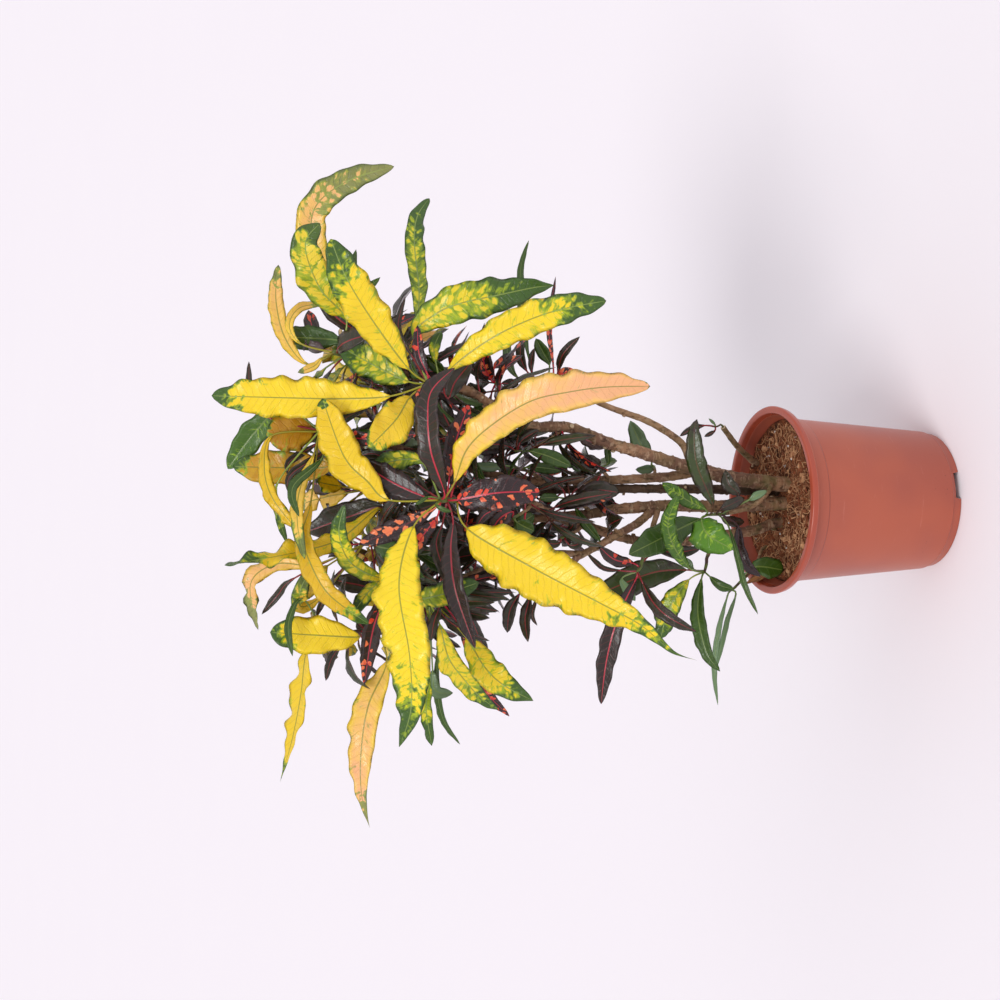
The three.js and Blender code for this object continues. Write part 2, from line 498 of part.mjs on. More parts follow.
// The leafy shoots: the limb that each stands on is the one whose end has its name.
const SHOOTS = {
  front_crown: {
    colour: 0x9a8a2c,
    radii: [4.4, 3],
    twig: [[0, 640, 66], [0, 668, 74]],
    leaves: [
      blade('yellow', 54, 8, [-32, 700, 84], [-100, 718, 112], [-185, 705, 130], [-250, 703, 136],
        [-296, 718, 138]),
      blade('tailed', 64, 0, [-35, 632, 92], [-83, 548, 138], [-129, 457, 178], [-156, 405, 196],
        [-190, 362, 204], [-202, 328, 204]),
      blade('peach', 47, -12, [22, 648, 92], [62, 632, 128], [93, 598, 158], [121, 550, 190],
        [133, 500, 212], [140, 450, 226], [142, 392, 236]),
      blade('spotted', 40, 6, [0, 646, 92], [8, 600, 118], [10, 566, 126], [9, 538, 126]),
      blade('dark', 25, 10, [-25, 650, 84], [-60, 653, 96], [-110, 647, 104], [-180, 622, 104]),
      blade('dark', 30, -14, [9, 661, 84], [58, 678, 104], [101, 682, 108], [132, 677, 106],
        [160, 648, 104]),
      blade('spotted', 25, 0, [26, 655, 72], [70, 647, 84], [116, 630, 84]),
      blade('spotted', 25, 0, [-12, 676, 66], [-34, 720, 46], [-53, 768, 26]),
      blade('dark', 34, 0, [3, 684, 66], [22, 728, 44], [46, 767, 20]),
      blade('yellow', 44, 0, [0, 731, 52], [22, 757, 36], [52, 786, 20], [120, 812, 0]),
      blade('spotted', 18, 12, [-20, 670, 74], [-40, 686, 76], [-64, 701, 70]),
      blade('netted', 24, 0, [44, 688, 44], [48, 718, 36], [38, 755, 26]),
      blade('dark', 14, 0, [30, 712, 40], [55, 748, 26], [45, 784, 14]),
      blade('dark', 16, 0, [-30, 664, 62], [-57, 671, 64], [-110, 650, 66]),
    ],
  },
  right_crown: {
    colour: 0xb8a42a,
    radii: [4.6, 3],
    twig: [[138, 664, 56], [140, 684, 60]],
    leaves: [
      blade('yellow', 50, 10, [124, 729, 40], [120, 790, 6], [120, 860, -24], [121, 944, -60]),
      blade('yellow', 44, -20, [124, 704, 66], [96, 722, 84], [62, 756, 96]),
      blade('yellow', 47, 10, [157, 706, 62], [210, 748, 68], [262, 782, 72], [309, 802, 74]),
      blade('yellow', 40, 0, [155, 657, 74], [179, 628, 96], [204, 588, 122], [225, 541, 144],
        [237, 501, 156], [247, 451, 164]),
      blade('netted', 45, 0, [196, 700, 48], [224, 672, 66], [238, 640, 82], [250, 590, 96],
        [260, 547, 104], [264, 520, 106]),
      blade('netted', 24, 16, [210, 694, 22], [252, 693, 2], [310, 699, -20], [341, 695, -34],
        [363, 680, -44]),
      blade('spotted', 14, 0, [150, 682, 62], [175, 693, 60], [210, 695, 54]),
      blade('dark', 22, 0, [122, 656, 66], [142, 648, 72], [167, 627, 72]),
      blade('netted', 14, 0, [165, 672, 40], [184, 674, 34], [204, 665, 30]),
      blade('netted', 38, 0, [142, 706, 24], [160, 748, -6], [184, 793, -40]),
    ],
  },
  back_right_crown: {
    colour: 0xa39332,
    radii: [3.9, 2.8],
    twig: [[168, 768, -32], [175, 800, -30]],
    leaves: [
      blade('green', 30, 0, [188, 790, -22], [191, 825, -40], [191, 864, -62]),
      blade('yellow', 40, 0, [214, 783, -14], [250, 815, 6], [300, 833, 24], [327, 815, 34]),
      blade('peach', 20, 0, [160, 830, -40], [190, 857, -60], [235, 868, -80], [276, 865, -96]),
      blade('peach', 12, 0, [184, 838, -52], [205, 852, -66], [226, 840, -80], [232, 811, -90]),
      blade('spotted', 20, 0, [180, 812, -50], [195, 822, -64], [224, 829, -80]),
      blade('dark', 20, 0, [196, 767, -24], [222, 800, -24], [279, 827, -22]),
      blade('green', 37, 0, [232, 786, -56], [292, 820, -60], [343, 822, -50], [378, 782, -34],
        [399, 724, -20]),
      blade('green', 12, 0, [212, 768, -30], [252, 778, -46], [298, 771, -60]),
      blade('green', 12, 0, [205, 758, -34], [240, 764, -20], [266, 741, -8]),
    ],
    more: { count: 9, length: 150, wide: 30, kinds: ['netted', 'dark', 'peach'] },
  },
  back_centre_crown: {
    colour: 0xb0883a,
    radii: [4, 2.6],
    twig: [[78, 785, -32], [82, 818, -30]],
    leaves: [
      blade('peach', 42, 0, [42, 800, -38], [38, 850, -64], [39, 919, -92]),
      blade('peach', 50, 6, [82, 822, -24], [80, 850, -10], [75, 880, 6]),
      blade('green', 33, 0, [108, 858, -46], [80, 892, -74], [36, 925, -100]),
      blade('yellow', 12, 0, [76, 872, -36], [40, 882, -30], [2, 872, -20], [-40, 838, -6]),
      blade('peach', 16, 0, [55, 822, -16], [10, 840, 6], [-30, 842, 24], [-70, 833, 40]),
      blade('green', 12, 0, [50, 812, -6], [15, 848, 4], [-20, 840, 10]),
      blade('dark', 9, 0, [98, 880, -56], [130, 898, -76], [162, 900, -92]),
      blade('netted', 10, 0, [20, 866, -60], [-20, 864, -84], [-50, 855, -104]),
      blade('peach', 26, 0, [-2, 826, 14], [-40, 836, 34], [-76, 826, 52], [-113, 803, 66],
        [-148, 755, 76]),
    ],
    more: { count: 9, length: 150, wide: 32, kinds: ['peach', 'dark', 'green'] },
  },
  back_left_crown: {
    colour: 0x8b6f2e,
    radii: [4.2, 2.6],
    twig: [[-50, 724, -28], [-52, 764, -26]],
    leaves: [
      blade('peach', 24, 0, [-10, 742, -6], [-46, 790, -2], [-60, 835, 6], [-70, 890, 18],
        [-76, 929, 30]),
      blade('green', 24, 0, [-92, 736, -8], [-76, 776, 16], [-40, 792, 36], [-5, 785, 52]),
      blade('dark', 38, 0, [-10, 738, 4], [-20, 780, -8], [-38, 832, -26]),
      blade('dark', 22, 0, [-100, 748, -20], [-100, 772, -34], [-93, 802, -50]),
      blade('peach', 18, 0, [-76, 820, -44], [-75, 868, -70], [-98, 898, -84], [-152, 889, -84]),
      blade('yellow', 26, 0, [-78, 806, -30], [-96, 824, -10], [-122, 846, 6]),
      blade('spotted', 22, 0, [-95, 727, 14], [-150, 749, 34], [-220, 761, 54]),
      blade('dark', 10, 0, [-92, 846, -54], [-112, 866, -74], [-134, 885, -90]),
      blade('netted', 18, 0, [-92, 742, 0], [-112, 758, 6], [-136, 776, 8]),
    ],
    more: { count: 9, length: 150, wide: 30, kinds: ['dark', 'peach', 'spotted'] },
  },
  left_crown: {
    colour: 0xc4a52c,
    radii: [3.4, 2.2],
    twig: [[-154, 752, -10], [-162, 812, -8]],
    leaves: [
      blade('yellow', 30, 56, [-180, 832, -6], [-230, 838, 14], [-280, 848, 36], [-331, 863, 60]),
      blade('yellow', 45, 0, [-163, 768, 10], [-160, 815, 4], [-155, 875, -10]),
      blade('peach', 33, 8, [-193, 733, 4], [-245, 756, 4], [-302, 765, -4], [-352, 764, -14],
        [-391, 754, -22]),
      blade('green', 9, 0, [-112, 838, -22], [-145, 854, -40], [-182, 848, -56]),
      blade('dark', 10, 0, [-172, 790, -14], [-190, 802, -30], [-214, 808, -44]),
    ],
    more: { count: 8, length: 140, wide: 30, kinds: ['dark', 'yellow', 'green'] },
  },
  lower_left_crown: {
    colour: 0x8a7a2c,
    radii: [3.4, 2.2],
    twig: [[-108, 658, 2], [-124, 682, 8]],
    leaves: [
      blade('netted', 28, 0, [-122, 703, 34], [-114, 665, 62], [-100, 617, 74]),
      blade('yellow', 34, -8, [-166, 634, 34], [-203, 610, 54], [-226, 585, 70], [-246, 547, 80]),
      blade('yellow', 27, 10, [-150, 667, 20], [-190, 656, 14], [-216, 637, 6], [-238, 617, 0],
        [-256, 592, -6]),
      blade('spotted', 16, 0, [-148, 645, 14], [-185, 627, -6], [-228, 612, -26], [-264, 578, -42]),
      blade('green', 10, 20, [-172, 669, 2], [-218, 671, -20], [-264, 663, -40], [-296, 641, -56]),
      blade('netted', 16, 20, [-215, 680, 8], [-250, 684, 20], [-296, 677, 34]),
      blade('young', 16, 0, [-205, 676, -14], [-230, 672, -16], [-233, 650, -16]),
      blade('dark', 12, 0, [-128, 668, 46], [-146, 674, 52], [-170, 678, 54]),
      blade('dark', 13, 0, [-132, 632, 0], [-160, 620, -26], [-196, 603, -50]),
      blade('dark', 11, 0, [-118, 636, -14], [-128, 622, -34], [-140, 604, -50]),
    ],
  },
  left_mid_shoot: {
    colour: 0x3b2b2b,
    radii: [1.8, 1.5],
    twig: [[-106, 560, 12], [-114, 560, 12]],
    leaves: [
      blade('dark', 16, 0, [-116, 566, 12], [-136, 578, -4], [-162, 581, -20]),
      blade('dark', 14, 0, [-118, 552, 18], [-145, 558, 34], [-174, 554, 46]),
    ],
  },
  left_low_shoot: {
    colour: 0x45312f,
    radii: [2.6, 1.8],
    twig: [[-82, 404, 30], [-90, 410, 30]],
    leaves: [
      blade('spotted', 25, 0, [-98, 411, 26], [-130, 428, 34], [-165, 442, 30], [-206, 452, 14],
        [-253, 458, -4]),
      blade('dark', 17, 10, [-100, 404, 40], [-128, 388, 62], [-148, 365, 78], [-166, 329, 88]),
      blade('young', 12, 0, [-97, 430, 10], [-110, 424, 6], [-126, 412, 2]),
      blade('spotted', 16, 0, [-79, 414, 26], [-74, 440, 30], [-57, 461, 34]),
      blade('dark', 7, 20, [-88, 430, 22], [-84, 456, 20], [-64, 478, 18]),
      blade('dark', 15, 0, [-64, 384, 34], [-66, 356, 40], [-61, 323, 44]),
    ],
  },
  left_rim_side_shoot: {
    colour: 0x4f6b2a,
    radii: [2.4, 1.7],
    twig: [[-80, 315, 18], [-92, 318, 20]],
    leaves: [
      blade('green', 38, 0, [-88, 343, 12], [-90, 385, -4], [-104, 428, -16], [-119, 466, -24]),
      blade('netted', 28, 0, [-101, 340, 28], [-135, 366, 14], [-174, 378, -4]),
      blade('green', 20, 12, [-100, 322, 34], [-142, 327, 50], [-192, 315, 60], [-217, 296, 64]),
      blade('green', 12, 0, [-97, 310, 26], [-108, 296, 36], [-113, 277, 40]),
      blade('young', 10, 0, [-88, 332, 8], [-80, 340, 4], [-71, 348, 2]),
      blade('netted', 20, 16, [-86, 338, 46], [-58, 360, 60], [-28, 368, 66], [6, 354, 66]),
    ],
  },
  rim_shoot: {
    colour: 0x56703a,
    radii: [1.9, 1.5],
    twig: [[-112, 277, -4], [-116, 284, -2]],
    leaves: [
      blade('young', 8, 0, [-122, 286, -2], [-165, 298, -20], [-215, 304, -36], [-260, 299, -50]),
      blade('young', 7, 0, [-120, 274, 0], [-150, 285, 8], [-185, 294, 14], [-216, 302, 16]),
      blade('green', 27, 0, [-87, 254, 18], [-85, 236, 20], [-90, 206, 18]),
    ],
  },
  centre_low_shoot: {
    colour: 0x3f7a22,
    radii: [2.4, 1.7],
    twig: [[-18, 300, 36], [-19, 316, 38]],
    leaves: [
      blade('green', 40, 0, [-24, 322, 56], [-44, 314, 76], [-60, 282, 88]),
      blade('green', 36, 0, [-24, 324, 28], [-38, 356, 12], [-54, 390, 0], [-68, 421, -6]),
      blade('netted', 18, 0, [-12, 316, 46], [0, 342, 46], [22, 376, 42]),
      blade('green', 24, 8, [-6, 306, 44], [44, 328, 56], [85, 332, 62], [102, 328, 64]),
      blade('dark', 14, 0, [-12, 296, 46], [-6, 282, 52], [3, 262, 54]),
      blade('dark', 14, 0, [-22, 294, 28], [-27, 280, 26], [-28, 262, 26]),
      blade('dark', 17, 0, [4, 270, 50], [20, 284, 52], [38, 289, 52]),
      blade('green', 8, 0, [-34, 284, 56], [-79, 270, 66], [-110, 261, 72], [-146, 243, 76]),
      blade('young', 16, 0, [-32, 272, 44], [-58, 270, 50], [-81, 260, 54], [-98, 239, 56]),
    ],
  },
  right_mid_shoot: {
    colour: 0x5a2b2a,
    radii: [3.2, 2],
    twig: [[144, 522, -12], [149, 548, -12]],
    leaves: [
      blade('dark', 11, 0, [158, 515, -8], [180, 508, 10], [202, 486, 26]),
      blade('red', 9, 40, [162, 521, -16], [213, 527, -34], [275, 518, -50]),
      blade('red', 14, 0, [152, 514, 2], [157, 504, 6], [159, 492, 8]),
      blade('green', 16, 0, [166, 526, -24], [180, 534, -28], [198, 544, -30]),
      blade('green', 10, 20, [168, 552, -30], [225, 562, -50], [280, 564, -66], [318, 553, -76]),
      blade('dark', 12, 0, [158, 556, -18], [176, 564, -20], [197, 562, -22]),
      blade('green', 12, 0, [150, 568, -26], [172, 580, -50], [204, 581, -70]),
    ],
    more: { count: 4, length: 90, wide: 18, kinds: ['dark', 'red'] },
  },
  right_upper_shoot: {
    colour: 0x7a3b24,
    radii: [2.2, 1.8],
    twig: [[138, 592, 6], [144, 597, 6]],
    leaves: [
      blade('red', 22, 0, [146, 602, 10], [166, 611, 24], [193, 612, 36]),
      blade('dark', 12, 0, [142, 588, 2], [142, 578, 0], [141, 566, 0]),
      blade('spotted', 15, 0, [160, 598, -6], [168, 586, -8], [179, 572, -8]),
      blade('dark', 12, 0, [148, 606, -6], [156, 622, -12], [170, 636, -16]),
    ],
  },
  stub_shoot: {
    colour: 0x4a5a2c,
    radii: [1.4, 1.1],
    twig: [[93, 300, -46], [93, 306, -45]],
    leaves: [
      blade('young', 4, 0, [95, 303, -44], [99, 307, -44], [103, 312, -44]),
      blade('dark', 9, 0, [94, 318, -44], [90, 334, -42], [80, 352, -40]),
    ],
  },
  thin_twig_shoot: {
    colour: 0x35402a,
    radii: [1.6, 1.3],
    twig: [[60, 560, 22], [60, 572, 22]],
    leaves: [
      blade('dark', 14, 0, [64, 576, 20], [68, 594, 18], [64, 614, 14]),
      blade('green', 18, 0, [60, 552, 32], [54, 528, 40], [41, 497, 44]),
    ],
  },
  inner_shoot_a: {
    colour: 0x2f3a2a,
    radii: [2, 1.5],
    twig: [[41, 466, -1], [43, 474, 0]],
    leaves: [
      blade('dark', 26, 0, [38, 462, 8], [44, 472, 14], [55, 484, 18]),
      blade('young', 12, 0, [38, 482, -4], [42, 490, -4], [50, 496, -4]),
    ],
  },
  inner_shoot_b: {
    colour: 0x7d8f5a,
    radii: [2, 1.5],
    twig: [[42, 388, -30], [44, 391, -32]],
    leaves: [
      blade('young', 22, 0, [50, 390, -34], [68, 404, -36], [99, 419, -38]),
      blade('young', 12, 0, [42, 386, -40], [38, 396, -46], [38, 412, -50]),
    ],
  },
  inner_shoot_c: {
    colour: 0x33452a,
    radii: [2, 1.5],
    twig: [[38, 564, -8], [40, 572, -6]],
    leaves: [
      blade('green', 14, 0, [40, 556, 0], [40, 538, 6], [36, 510, 10]),
      blade('young', 12, 0, [42, 584, -2], [40, 604, 0], [44, 626, 2]),
      blade('dark', 14, 0, [30, 578, -12], [22, 594, -12], [10, 606, -10]),
    ],
  },
  inner_shoot_d: {
    colour: 0x3a2f2a,
    radii: [2.2, 1.7],
    twig: [[70, 642, -12], [78, 650, -10]],
    leaves: [
      blade('dark', 24, 0, [88, 654, 0], [104, 662, 8], [124, 667, 12]),
      blade('green', 22, 0, [92, 628, 0], [104, 618, 6], [118, 604, 10]),
      blade('dark', 16, 0, [74, 664, 6], [74, 684, 10], [86, 706, 12]),
      blade('spotted', 18, 0, [60, 622, 0], [62, 604, 8], [70, 580, 12]),
    ],
    more: { count: 4, length: 90, wide: 22, kinds: ['dark', 'spotted'] },
  },
  inner_shoot_e: {
    colour: 0x4a3540,
    radii: [2, 1.5],
    twig: [[0, 498, 8], [2, 506, 10]],
    leaves: [
      blade('dark', 24, 0, [7, 488, 22], [12, 462, 30], [9, 433, 32]),
      blade('green', 12, 0, [-10, 492, 16], [-28, 480, 22], [-52, 458, 26]),
      blade('dark', 12, 0, [12, 508, 8], [22, 520, 10], [32, 538, 10]),
    ],
  },
  inner_shoot_f: {
    colour: 0x2c3a28,
    radii: [2, 1.5],
    twig: [[-43, 574, 4], [-45, 582, 6]],
    leaves: [
      blade('dark', 12, 0, [-46, 590, 14], [-46, 572, 22], [-43, 550, 26]),
      blade('green', 20, 0, [-34, 572, 16], [-26, 560, 24], [-18, 546, 26]),
      blade('dark', 22, 0, [-52, 574, 0], [-58, 558, 4], [-56, 540, 6]),
    ],
  },
  inner_shoot_g: {
    colour: 0x33302f,
    radii: [2, 1.5],
    twig: [[-45, 506, 22], [-47, 512, 24]],
    leaves: [
      blade('dark', 11, 0, [-52, 512, 22], [-54, 520, 20], [-52, 532, 18]),
      blade('dark', 11, 0, [-54, 502, 26], [-56, 494, 30], [-52, 482, 32]),
      blade('dark', 10, 0, [-38, 502, 32], [-32, 496, 38], [-22, 494, 40]),
    ],
  },
  inner_shoot_h: {
    colour: 0x41512b,
    radii: [2, 1.5],
    twig: [[-21, 573, 44], [-23, 580, 46]],
    leaves: [
      blade('spotted', 22, 0, [-14, 574, 50], [-22, 590, 52], [-38, 602, 50]),
      blade('green', 18, 0, [-26, 570, 50], [-32, 560, 54], [-38, 546, 56]),
      blade('dark', 16, 0, [-24, 592, 44], [-32, 606, 44], [-50, 616, 42]),
      blade('spotted', 14, 0, [-12, 592, 46], [-18, 610, 50], [-32, 620, 50]),
    ],
  },
  far_crown: {
    colour: 0x93802c,
    radii: [4, 2.6],
    twig: [[11, 730, -118], [14, 775, -124]],
    leaves: [],
    more: { count: 22, length: 205, wide: 42, kinds: ['yellow', 'dark', 'netted', 'peach'] },
  },
  far_left_crown: {
    colour: 0x8f862e,
    radii: [3.6, 2.4],
    twig: [[-98, 674, -112], [-110, 712, -118]],
    leaves: [],
    more: { count: 20, length: 195, wide: 40, kinds: ['netted', 'spotted', 'yellow', 'dark'] },
  },
  far_right_crown: {
    colour: 0xa08a30,
    radii: [3.6, 2.4],
    twig: [[129, 712, -110], [136, 748, -116]],
    leaves: [],
    more: { count: 20, length: 195, wide: 40, kinds: ['yellow', 'peach', 'dark', 'netted'] },
  },
  far_low_left_shoot: {
    colour: 0x54382c,
    radii: [3, 2],
    twig: [[-42, 610, -114], [-54, 636, -124]],
    leaves: [],
    more: { count: 14, length: 175, wide: 34, kinds: ['dark', 'spotted', 'green'] },
  },
  far_low_right_shoot: {
    colour: 0x5c4a2c,
    radii: [3, 2],
    twig: [[66, 612, -120], [78, 634, -128]],
    leaves: [],
    more: { count: 14, length: 175, wide: 34, kinds: ['dark', 'netted', 'red'] },
  },
};

// Growing the plant

const nodes = new Map(); // the bodies that make up each piece
const limbs = new Map(); // the route and radii of each limb, by what stands on its end

function add(node, body) {
  if (!nodes.has(node)) nodes.set(node, []);
  nodes.get(node).push(body);
}

function asPoint(place) {
  return place.isVector3 ? place : drawn(place);
}

// A thick limb has more sides, and longer steps along it, than a thin one.
function sidesOf([thick]) {
  return thick > 8 ? 8 : thick > 5 ? 7 : 5;
}

function stepOf([thick]) {
  return thick > 3 ? 46 : 20;
}

for (const [node, stem] of Object.entries(STEMS)) {
  for (const { end, radii, points } of stem) {
    const route = new Route(points.map(asPoint));
    limbs.set(end, { node, route, radii });
    take(limbSamples(node, route, radii));
    add(node, limb(route, radii, sidesOf(radii), stepOf(radii)));
  }
}

const twigs = new Map();
for (const [node, { radii, twig }] of Object.entries(SHOOTS)) {
  const { route } = limbs.get(node);
  const way = route.direction(route.length);
  const end = route.at(route.length);
  const start = [GAP, 5].map((step) => end.clone().addScaledVector(way, step));
  const grown = new Route([...start, ...twig.map(drawn)]);
  grown.core = radii[1] * 0.4; // how far off its middle a leaf's stalk starts, and how thick there
  twigs.set(node, grown);
  take(limbSamples(node, grown, radii));
  add(node, limb(grown, radii, 5, 30));
}

function fits(samples) {
  return !samples.some((sample) => nearPot(sample) || nearTaken(sample));
}

// The leaves of the front, each at the first slide along the line of sight that has room.
for (const [node, { leaves }] of Object.entries(SHOOTS)) {
  for (const spec of leaves) {
    const tries = SLIDES.map((slide) => drawnLeaf(spec, twigs.get(node), slide));
    const leaf = tries.find((tried) => fits(bladeSamples(node, tried)));
    take(bladeSamples(node, leaf));
    add(node, leafBody(leaf));
  }
}

// The far side: leaves by rule, kept behind the drawn ones and inside the outline from the front.
const FAR = { start: 22, end: 243, trials: 9 };
function hidden({ point, free }) {
  return !free || (insideCanopy(point) && point.y > FAR.start && point.y < FAR.end);
}

Object.entries(SHOOTS).forEach(([node, { more }], index) => {
  if (!more) return;
  const roll = dice(1000 + 77 * index);
  const twig = twigs.get(node);
  let grown = 0;
  for (let i = 0; i < more.count * FAR.trials && grown < more.count; i++) {
    const size = 0.62 + 0.38 * roll();
    const rise = (68 - 62 * ((i % more.count) / more.count) + 14 * roll()) * (Math.PI / 180);
    const root = twig.at(twig.length * (0.3 + 0.6 * roll()));
    const droop = 0.35 + 0.65 * roll();
    const kind = more.kinds[i % more.kinds.length];
    const azimuth = i * GOLDEN + index;
    const [wide, length] = [more.wide * size, more.length * size];
    const leaf = sprungLeaf(kind, wide, root, twig.core, azimuth, rise, length, droop);
    const samples = bladeSamples(node, leaf);
    if (!samples.every(hidden) || !fits(samples)) continue;
    take(samples);
    add(node, leafBody(leaf));
    grown++;
  }
});

// The pot

function turned(profile) {
  const points = profile.map(([r, z]) => new THREE.Vector2(r, z));
  return new THREE.LatheGeometry(points, POT.facets).rotateX(Math.PI / 2);
}

function potBody() {
  const p = POT;
  const foot = p.footRadius - p.wall - 0.6;
  const profile = [
    [0, p.floorTop - p.wall],
    [foot - 1, p.floorTop - p.wall],
    [foot, 0],
    [p.footRadius, 0],
    [p.footRadius + 0.6, p.footHeight],
    [p.baseRadius, p.chamferHeight],
    [p.neckRadius - 1.6, p.ledgeHeight],
    [p.neckRadius - 1.6 + p.ledgeDepth, p.ledgeHeight + 0.8],
    [p.neckRadius + 1.4, p.height - p.bandHeight - 1.5],
    [p.rimRadius - 1.6, p.height - p.bandHeight],
    [p.rimRadius, p.height - 2.6],
    [p.rimRadius - 2, p.height - 0.4],
    [p.lipRadius + 2.4, p.height],
    [p.lipRadius, p.height - 3.4],
    [p.neckRadius - p.wall + 1.8, p.neckHeight + 4],
    [p.neckRadius - p.wall, p.neckHeight - 2],
    [p.baseRadius - p.wall, p.floorTop + 3],
    [p.baseRadius - p.wall - 3, p.floorTop],
    [0, p.floorTop],
  ];
  let body = solid(turned(profile));
  const notch = new THREE.Shape([
    new THREE.Vector2(NOTCH.left - NOTCH.flare, -1),
    new THREE.Vector2(NOTCH.right + NOTCH.flare, -1),
    new THREE.Vector2(NOTCH.right, NOTCH.height),
    new THREE.Vector2(NOTCH.left, NOTCH.height),
  ]);
  const cut = new THREE.ExtrudeGeometry(notch, { depth: 40, bevelEnabled: false });
  cut.rotateX(Math.PI / 2);
  cut.translate(0, -p.footRadius + 20, 0);
  body = body.subtract(solid(cut));
  for (let i = 0; i < DRAIN.count; i++) {
    const turn = (i * 2 * Math.PI) / DRAIN.count;
    const hole = new THREE.CylinderGeometry(DRAIN.radius, DRAIN.radius, 12, 8);
    hole.rotateX(Math.PI / 2);
    hole.translate(DRAIN.ring * Math.cos(turn), DRAIN.ring * Math.sin(turn), p.floorTop);
    body = body.subtract(solid(hole));
  }
  return body;
}

// How high the soil lies over a place: nearly level, heaped a little towards the back.
function soilHeight(x, y) {
  const lumps = Math.sin(x / 17 + 1) * Math.cos(y / 21) + 0.5 * Math.sin(x / 9 - y / 11);
  return SOIL.level + 1.2 * lumps + SOIL.heap * Math.max(0, y / 100);
}

function soilBody() {
  const inner = (z) => {
    const rise = (z - POT.floorTop - 3) / (POT.neckHeight - 2 - POT.floorTop - 3);
    return POT.baseRadius - POT.wall + (POT.neckRadius - POT.baseRadius) * rise - GAP;
  };
  const floor = POT.floorTop + GAP;
  const edge = inner(SOIL.level);
  const profile = [
    [0, floor],
    [inner(floor + 3) - 3.2, floor],
    [inner(floor + 3), floor + 3],
    [edge, SOIL.level],
    [edge * 0.66, SOIL.level],
    [edge * 0.33, SOIL.level],
    [0, SOIL.level],
  ];
  const geometry = turned(profile);
  const places = geometry.attributes.position;
  for (let i = 0; i < places.count; i++) {
    if (places.getZ(i) < SOIL.level - 1) continue;
    const rim = Math.hypot(places.getX(i), places.getY(i)) > edge - 1;
    const height = soilHeight(places.getX(i), places.getY(i));
    places.setZ(i, rim ? Math.min(height, SOIL.level) : height);
  }
  let body = solid(geometry);
  for (const { route, radii } of limbs.values()) {
    if (route.at(0).z > SOIL.level) continue;
    body = body.subtract(limb(route, radii, sidesOf(radii), stepOf(radii), GAP));
  }
  return body;
}

// The tie: a short sleeve round the stem of the back-centre crown.
const TIE = { seenAt: 661, height: 7, wall: 2 };
function tieBody() {
  const { route, radii } = limbs.get('back_centre_crown');
  let mile = 0;
  while (seenAt(route.at(mile)).z < TIE.seenAt) mile += 1;
  const radius = radii[0] + ((radii[1] - radii[0]) * mile) / route.length;
  const cut = [-TIE.height / 2, TIE.height / 2].map((step) => route.at(mile + step));
  const long = [-TIE.height, TIE.height].map((step) => route.at(mile + step));
  const sleeve = limb(new Route(cut), [radius, radius], 7, 9, GAP + TIE.wall);
  return sleeve.subtract(limb(new Route(long), [radius, radius], 7, 9, GAP + 0.6));
}

// A dry leaf that leans from the soil over the rim at the left.
const DRY_LEAF = {
  wide: 17,
  bearing: 168,
  points: [[90, 209], [98, 214.5], [105.5, 223], [112.5, 230.2], [119, 238]],
};
function dryLeafBody() {
  const line = DRY_LEAF.points.map(([r, z], i) => {
    const turn = ((DRY_LEAF.bearing - 3 * i) * Math.PI) / 180;
    return at(r * Math.cos(turn), r * Math.sin(turn), z);
  });
  const route = new Route(line);
  const facing = at(1, -0.2, 1);
  const form = { fold: 0.3, ruffle: 0.1, waves: 1.5, taper: 0.8 };
  return leafBody({ ...form, route, stalk: 4, wide: DRY_LEAF.wide, turn: 0, facing, step: 9, pin: 0.8 });
}

const group = new THREE.Group();
const PLASTIC = { colour: 0xb5604c, roughness: 0.5 };
const EARTH = { colour: 0x5a3a28, roughness: 0.95 };
const BARK = { colour: 0x7a6250, roughness: 0.9 };
const TIE_PLASTIC = { colour: 0x0f5a46, roughness: 0.5 };
const DRIED = { colour: 0x8a5a34, roughness: 0.8 };

group.add(named('pot', potBody(), PLASTIC));
group.add(named('soil', soilBody(), EARTH));
group.add(named('tie', tieBody(), TIE_PLASTIC));
group.add(named('dry_leaf', dryLeafBody(), DRIED));
for (const [node, bodies] of nodes) {
  const shoot = SHOOTS[node];
  group.add(named(node, joined(bodies), shoot ? { colour: shoot.colour, roughness: 0.4 } : BARK));
}

export default group;
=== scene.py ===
# A potted croton: a bush of waved, spotted leaves on woody stems, in a tapered nursery pot.
# Places are worked out in millimetres in the part's own frame, and meshes are written in metres.

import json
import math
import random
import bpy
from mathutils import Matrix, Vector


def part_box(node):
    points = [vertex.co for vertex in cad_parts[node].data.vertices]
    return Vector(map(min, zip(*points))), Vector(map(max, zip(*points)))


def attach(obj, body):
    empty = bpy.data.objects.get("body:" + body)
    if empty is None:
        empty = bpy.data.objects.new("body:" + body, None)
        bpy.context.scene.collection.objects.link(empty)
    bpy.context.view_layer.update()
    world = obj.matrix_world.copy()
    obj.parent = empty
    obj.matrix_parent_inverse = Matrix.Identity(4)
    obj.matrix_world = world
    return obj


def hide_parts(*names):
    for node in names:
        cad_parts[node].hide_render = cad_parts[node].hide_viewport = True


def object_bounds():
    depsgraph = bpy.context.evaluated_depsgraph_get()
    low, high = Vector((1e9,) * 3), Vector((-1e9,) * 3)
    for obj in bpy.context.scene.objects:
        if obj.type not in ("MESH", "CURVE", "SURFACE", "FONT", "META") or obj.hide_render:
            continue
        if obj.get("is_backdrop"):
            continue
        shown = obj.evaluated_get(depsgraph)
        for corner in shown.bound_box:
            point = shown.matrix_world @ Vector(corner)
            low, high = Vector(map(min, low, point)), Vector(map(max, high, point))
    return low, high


bl_info = {
    "name": "Potted Croton",
    "version": (1, 0, 0),
    "blender": (4, 5, 0),
    "location": "View3D > Sidebar > Croton",
    "description": "Builds a potted croton with its pot, soil, woody stems and leafy shoots",
    "category": "Object",
}

from bisect import bisect_left
from collections import namedtuple

